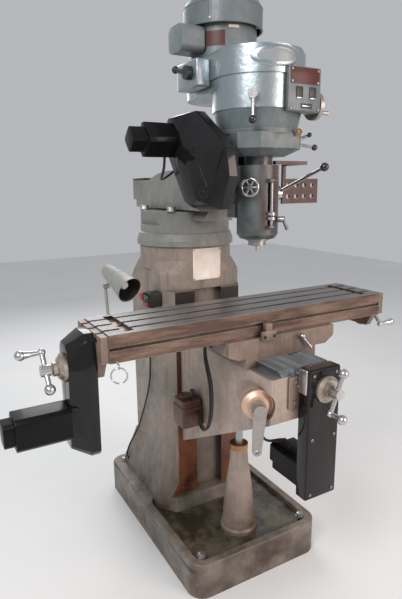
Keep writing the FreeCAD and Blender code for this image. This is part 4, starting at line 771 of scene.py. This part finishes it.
settle(bpy.context.object, "screw_eye", "table", "polished_steel")
print("fittings on the table and saddle")

# %% [markdown]
# ## Graduated dials
# A dial is read against a line, so its rim carries fine dark marks, with every fifth one longer. One mark
# of each place in five is modelled, and Spin repeats it round the axis.

# %% Graduations
MARK_DEPTH = 0.0005
MARK_WIDTH = 0.0007


def graduations(name, place, axis, radius, long_mark, short_mark, count, body):
    """Dark marks round a rim: count long ones, and four short ones after each."""
    marks = []
    for length, turns in ((long_mark, (0,)), (short_mark, (1, 2, 3, 4))):
        for turn in turns:
            bpy.ops.object.select_all(action="DESELECT")
            bpy.ops.mesh.primitive_cube_add(size=1, location=(radius, 0, length / 2),
                                            scale=(MARK_DEPTH, MARK_WIDTH, length))
            mark = bpy.context.object
            bpy.ops.object.transform_apply(location=True, rotation=True, scale=True)
            bpy.ops.object.mode_set(mode="EDIT")
            bpy.ops.mesh.select_all(action="SELECT")
            bpy.ops.transform.rotate(value=2 * math.pi * turn / (5 * count), orient_axis="Z",
                                     center_override=(0, 0, 0))
            bpy.ops.mesh.spin(steps=count, dupli=True, angle=2 * math.pi, center=(0, 0, 0), axis=(0, 0, 1))
            bpy.ops.object.mode_set(mode="OBJECT")
            marks.append(mark)
    bpy.ops.object.select_all(action="DESELECT")
    for mark in marks:
        mark.select_set(True)
    bpy.context.view_layer.objects.active = marks[0]
    bpy.ops.object.join()
    aim(marks[0], place, axis)
    return settle(marks[0], name, body, "black_plastic")


CRANK_TURN = math.radians(24.7)
CRANK_AXIS = Vector((-math.sin(CRANK_TURN), -math.cos(CRANK_TURN), 0))
CRANK_CENTRE = Vector((0, -0.290, 0.811))
graduations("crank_marks", CRANK_CENTRE + CRANK_AXIS * 0.3463, CRANK_AXIS, 0.0499, 0.0100, 0.0060, 20,
            "crank")
graduations("cross_marks", (0.050, face_y - 0.0005, 0.855), (0, -1, 0), 0.0439, 0.0080, 0.0050, 20,
            "cross_screw")
TABLE_SCREW_AT = (-0.411, 0.975)
for name, x, side in (("left_dial_marks", -0.6905, -1), ("right_dial_marks", 0.4988, 1)):
    graduations(name, (x, *TABLE_SCREW_AT), (side, 0, 0), 0.0429, 0.0090, 0.0055, 20, "table_screw")
print("dials marked on the crank, the cross screw and the table screw")

# %% [markdown]
# ## Badge
# The belt housing carries a blank oval badge. It is modelled flat, as a square grid drawn in to an oval,
# and then bent round the housing's band.

# %% Badge on the belt housing
BAND_RADIUS = 0.151
BAND_CENTRE_Y = -0.385


def wrapped(piece, radius, centre_y, turn):
    """Bends a flat piece, modelled in X and Z with its thickness in -Y, round an upright cylinder."""
    for vertex in piece.data.vertices:
        angle = vertex.co.x / radius + turn
        out = radius - vertex.co.y
        vertex.co = Vector((out * math.sin(angle), centre_y - out * math.cos(angle), vertex.co.z))
    piece.data.update()


def oval(name, half_width, half_height, out, z, turn, finish):
    """A flat oval, finely divided, bent round the housing's band."""
    bpy.ops.object.select_all(action="DESELECT")
    bpy.ops.mesh.primitive_grid_add(x_subdivisions=36, y_subdivisions=18, size=2)
    piece = bpy.context.object
    for vertex in piece.data.vertices:
        x, y = vertex.co.x, vertex.co.y
        # A square's points drawn in to a disc, then stretched to the oval.
        disc_x = x * math.sqrt(1 - y * y / 2)
        disc_y = y * math.sqrt(1 - x * x / 2)
        edge = 1 - min(1, math.hypot(disc_x, disc_y)) ** 8
        vertex.co = Vector((disc_x * half_width, -out * edge - 0.0002, disc_y * half_height))
    for vertex in piece.data.vertices:
        vertex.co.z += z
    wrapped(piece, BAND_RADIUS, BAND_CENTRE_Y, turn)
    only(piece)
    thick = piece.modifiers.new("wall", "SOLIDIFY")
    thick.thickness = 0.0012
    thick.offset = 0
    bpy.ops.object.modifier_apply(modifier="wall")
    return settle(piece, name, "head", finish)


BADGE_TURN = math.radians(-13.0)
BADGE_Z = 1.857
oval("badge_rim", 0.082, 0.030, 0.0034, BADGE_Z, BADGE_TURN, "bright_aluminium")
oval("badge_field", 0.073, 0.022, 0.0042, BADGE_Z, BADGE_TURN, "badge_grey")
print("badge at", round(math.degrees(BADGE_TURN), 1))

# %% [markdown]
# ## Speed box and depth stop
# The speed box has a red plate over two small windows with bright sills, the gear case an oil cup, and the
# quill housing a depth-stop screw with two nuts between two lugs.

# %% Speed box, oil cup and depth stop
box_low, box_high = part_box("speed_box")
plate_back = box_low.y + 0.0004
block("speed_plate", (box_low.x + 0.006, box_low.y - 0.0016, 1.782), (box_high.x - 0.006, plate_back, 1.828),
      "head", "red_plate", 0.0006)
for i, x in enumerate((0.026, 0.078)):
    block("window_%d" % i, (x, box_low.y - 0.0020, 1.744), (x + 0.026, plate_back, 1.774), "head",
          "black_plastic", 0.0006)
    block("window_sill_%d" % i, (x + 0.002, box_low.y - 0.0040, 1.7395), (x + 0.024, plate_back, 1.7435),
          "head", "polished_steel", 0.0008)
block("range_plate", (0.046, box_low.y - 0.0016, 1.712), (0.088, plate_back, 1.726), "head", "black_plastic",
      0.0005)
block("range_line", (0.050, box_low.y - 0.0024, 1.7175), (0.084, box_low.y - 0.0010, 1.7205), "head",
      "polished_steel", 0.0004)
for i, (x, z) in enumerate(((0.010, 1.822), (0.110, 1.822), (0.010, 1.788), (0.110, 1.788), (0.006, 1.710),
                            (0.114, 1.710))):
    cap_screw("speed_screw_%d" % i, (x, box_low.y - 0.001, z), (0, -1, 0), "head", "ground_steel", 0.0038,
              0.0024)
lathed("oil_cup", [(0.006, -0.004), (0.006, 0.004), (0.0095, 0.005), (0.0095, 0.014), (0.0085, 0.0165),
                   (0.003, 0.018)], (0.060, -0.516, 1.640), (0.35, -1, 0.75), "head", "bronze", 24)
STOP_Y = -0.472
lathed("stop_screw", [(0.0044, 0), (0.0050, 0.0006), (0.0050, 0.150), (0.0040, 0.151)],
       (0.0, STOP_Y, 1.347), (0, 0, 1), "head", "ground_steel", 20)
for i, z in enumerate((1.372, 1.387)):
    lathed("stop_nut_%d" % i, [(0.0115, 0), (0.0130, 0.0012), (0.0130, 0.0100), (0.0115, 0.0112)],
           (0.0, STOP_Y, z), (0, 0, 1), "head", "polished_steel", 24)
for i, z in enumerate((1.3485, 1.498)):
    block("stop_lug_%d" % i, (-0.013, STOP_Y - 0.010, z - 0.006), (0.013, -0.458, z + 0.006), "head",
          "head_paint", 0.002)
print("speed box face", round(box_low.y, 4))

# %% [markdown]
# ## Black balls
# Four levers end in a moulded black ball. Two places are worked out from the lever's axis, length and
# slant, and the other two are given.

# %% Black balls on the levers
def knob(name, place, radius, axis, body):
    """A moulded ball, with a small flat where it screws on to its lever."""
    rings = [(radius * math.cos(turn), radius * math.sin(turn))
             for turn in (math.radians(step) for step in range(-72, 73, 9))]
    rings.append((radius * 0.12, radius * 0.995))
    return lathed(name, rings, place, axis, body, "black_ball", 36)


HI_LO_OUT = Vector((-93, -111, 0)).normalized()
HI_LO_BALL = Vector((0, -0.385, 1.752)) + HI_LO_OUT * 0.1703 + Vector((0, 0, -0.076))
HANDLE_TURN = math.radians(158.6)
HANDLE_REACH = 0.230
HANDLE_HUB = Vector((0.120, -0.340, 1.455))
HANDLE_BALL = Vector((0.146, HANDLE_HUB.y + HANDLE_REACH * math.cos(HANDLE_TURN),
                      HANDLE_HUB.z + HANDLE_REACH * math.sin(HANDLE_TURN)))
knob("hi_lo_ball", HI_LO_BALL, 0.0123, (0, 0, -1), "hi_lo_lever")
knob("quill_ball", HANDLE_BALL, 0.0143, HANDLE_BALL - HANDLE_HUB, "quill_handle")
knob("brake_ball", (0.1845, -0.460, 1.606), 0.0103, (58, -30, -12), "brake_lever")
knob("feed_ball", (0.1465, -0.476, 1.644), 0.0083, (20, -24, 10), "feed_lever")
print("black balls fitted")

# %% [markdown]
# ## Case of the quill drive
# The moulded case has a round boss and three raised ribs on its sloping side. Looking at the case along X
# finds where that side is, so that each of them lies on it.

# %% Ribs and boss on the quill drive's case
def on_case(y, z, lift=0.0015):
    """The place on the case's left side at a given height and depth, found by looking at it along X."""
    hit, place, normal, _ = shells["z_drive_housing"].ray_cast((-1, y, z), (1, 0, 0))
    return place + normal * lift, normal


boss_place, boss_axis = on_case(-0.408, 1.460, 0)
lathed("z_case_boss", [(0.0240, -0.006), (0.0240, 0.0010), (0.0225, 0.0026), (0.0110, 0.0030),
                       (0.0100, 0.0012)], boss_place, boss_axis, "head", "black_enamel", 40)
RIBS = [((-0.478, 1.590), (-0.436, 1.474)), ((-0.470, 1.584), (-0.352, 1.612)),
        ((-0.346, 1.604), (-0.428, 1.480))]
for i, (low_end, high_end) in enumerate(RIBS):
    start = on_case(*low_end)[0]
    run = on_case(*high_end)[0] - start
    lathed("z_case_rib_%d" % i, [(0.0010, 0.0), (0.0026, 0.0015), (0.0026, run.length - 0.0015),
                                 (0.0010, run.length)], start, run, "head", "black_enamel", 20)
print("case boss at", [round(v, 4) for v in boss_place])

# %% [markdown]
# ## Collet and drill
# A collet fills the spindle's nose, and a short drill stands out of it.

# %% Collet and drill
NOSE = Vector((0, -0.394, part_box("spindle")[0].z))
lathed("collet", [(0.0118, 0.020), (0.0118, 0.013), (0.0150, 0.0005), (0.0146, -0.0035), (0.0070, -0.0045),
                  (0.0060, 0.002)], NOSE, (0, 0, 1), "spindle", "ground_steel", 32)
lathed("drill", [(0.0050, 0.004), (0.0050, -0.012), (0.0046, -0.0125), (0.0046, -0.0195), (0.0006, -0.0222)],
       NOSE, (0, 0, 1), "spindle", "polished_steel", 20)
print("spindle nose at", round(NOSE.z, 4))

# %% [markdown]
# ## Motor and ram
# The fan cap has a rolled rim and small screws, the motor two blank plates, and the ram a black guard over
# its tail.

# %% Motor trim and ram guard
MOTOR_Y = -0.174
MOTOR_RADIUS = 0.118
CAP_RADIUS = 0.1378
cap_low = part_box("motor_fan_cap")[0]
for name, thickness, z in (("cap_rim", 0.0022, cap_low.z + 0.0022), ("cap_bead", 0.0016, 2.073)):
    bpy.ops.object.select_all(action="DESELECT")
    bpy.ops.mesh.primitive_torus_add(major_radius=CAP_RADIUS, minor_radius=thickness, major_segments=96,
                                     minor_segments=10, location=(0, MOTOR_Y, z))
    settle(bpy.context.object, name, "head", "motor_paint")
for i in range(4):
    turn = math.radians(40 + 90 * i)
    out = Vector((math.cos(turn), math.sin(turn), 0))
    cap_screw("cap_screw_%d" % i, Vector((0, MOTOR_Y, 2.018)) + out * 0.138, out, "head", "ground_steel",
              0.0045, 0.003)


def motor_plate(name, half_width, low, high, turn, finish):
    """A thin plate bent round the motor's body."""
    bpy.ops.object.select_all(action="DESELECT")
    bpy.ops.mesh.primitive_grid_add(x_subdivisions=24, y_subdivisions=1, size=2)
    piece = bpy.context.object
    for vertex in piece.data.vertices:
        z = low + (high - low) * (vertex.co.y + 1) / 2
        vertex.co = Vector((vertex.co.x * half_width, -0.0009, z))
    wrapped(piece, MOTOR_RADIUS, MOTOR_Y, turn)
    only(piece)
    thick = piece.modifiers.new("wall", "SOLIDIFY")
    thick.thickness = 0.0008
    thick.offset = 0
    bpy.ops.object.modifier_apply(modifier="wall")
    return settle(piece, name, "head", finish)


motor_plate("rating_plate", 0.032, 1.938, 1.984, math.radians(-44), "red_plate")
motor_plate("maker_plate", 0.018, 1.992, 2.001, math.radians(-14), "cream_plate")
ram_low, ram_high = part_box("ram")
block("tail_guard", (ram_low.x - 0.001, 0.360, 1.5125), (ram_high.x + 0.001, 0.4885, 1.522), "ram",
      "black_plastic", 0.002)
print("ram tail at", round(ram_high.y, 4))

# %% [markdown]
# ## Studio
# A plain pale floor, a soft light from the upper left, a weaker one from the right, one from behind and an
# even pale sky keep the dark iron readable without hard shadows.

# %% Floor and lights
bpy.ops.object.select_all(action="DESELECT")
bpy.ops.mesh.primitive_plane_add(size=14, location=(0, 2, 0))
floor = bpy.context.object
floor.name = "floor"
floor_finish = Finish("pale_floor", roughness=0.7)
floor_tone = floor_finish.mix(floor_finish.noise(1.3, 0.3, 0.7), (0.78, 0.78, 0.77), (0.82, 0.82, 0.81))
floor.data.materials.append(floor_finish.shade(floor_tone))


def soft_light(name, place, target, size, power, tint=(1, 1, 1)):
    """A square soft box that points at a target."""
    data = bpy.data.lights.new(name, "AREA")
    data.shape = "SQUARE"
    data.size = size
    data.energy = power
    data.color = tint
    light = bpy.data.objects.new(name, data)
    light.location = place
    light.rotation_euler = (Vector(target) - Vector(place)).to_track_quat("-Z", "Y").to_euler()
    bpy.context.collection.objects.link(light)
    return light


soft_light("key_light", (-2.6, -2.0, 3.4), (0, -0.1, 1.1), 1.5, 80)
soft_light("fill_light", (1.6, -3.4, 1.9), (0, -0.2, 0.9), 1.8, 62, (1.0, 0.84, 0.76))
soft_light("back_light", (0.6, 3.0, 3.0), (0, 0, 1.2), 2.4, 60)
world = bpy.data.worlds.new("studio")
world.use_nodes = True
world.node_tree.nodes["Background"].inputs["Color"].default_value = (0.93, 0.95, 1.0, 1)
world.node_tree.nodes["Background"].inputs["Strength"].default_value = 0.50
bpy.context.scene.world = world
bpy.context.scene.view_settings.view_transform = "Standard"
print("lights set")
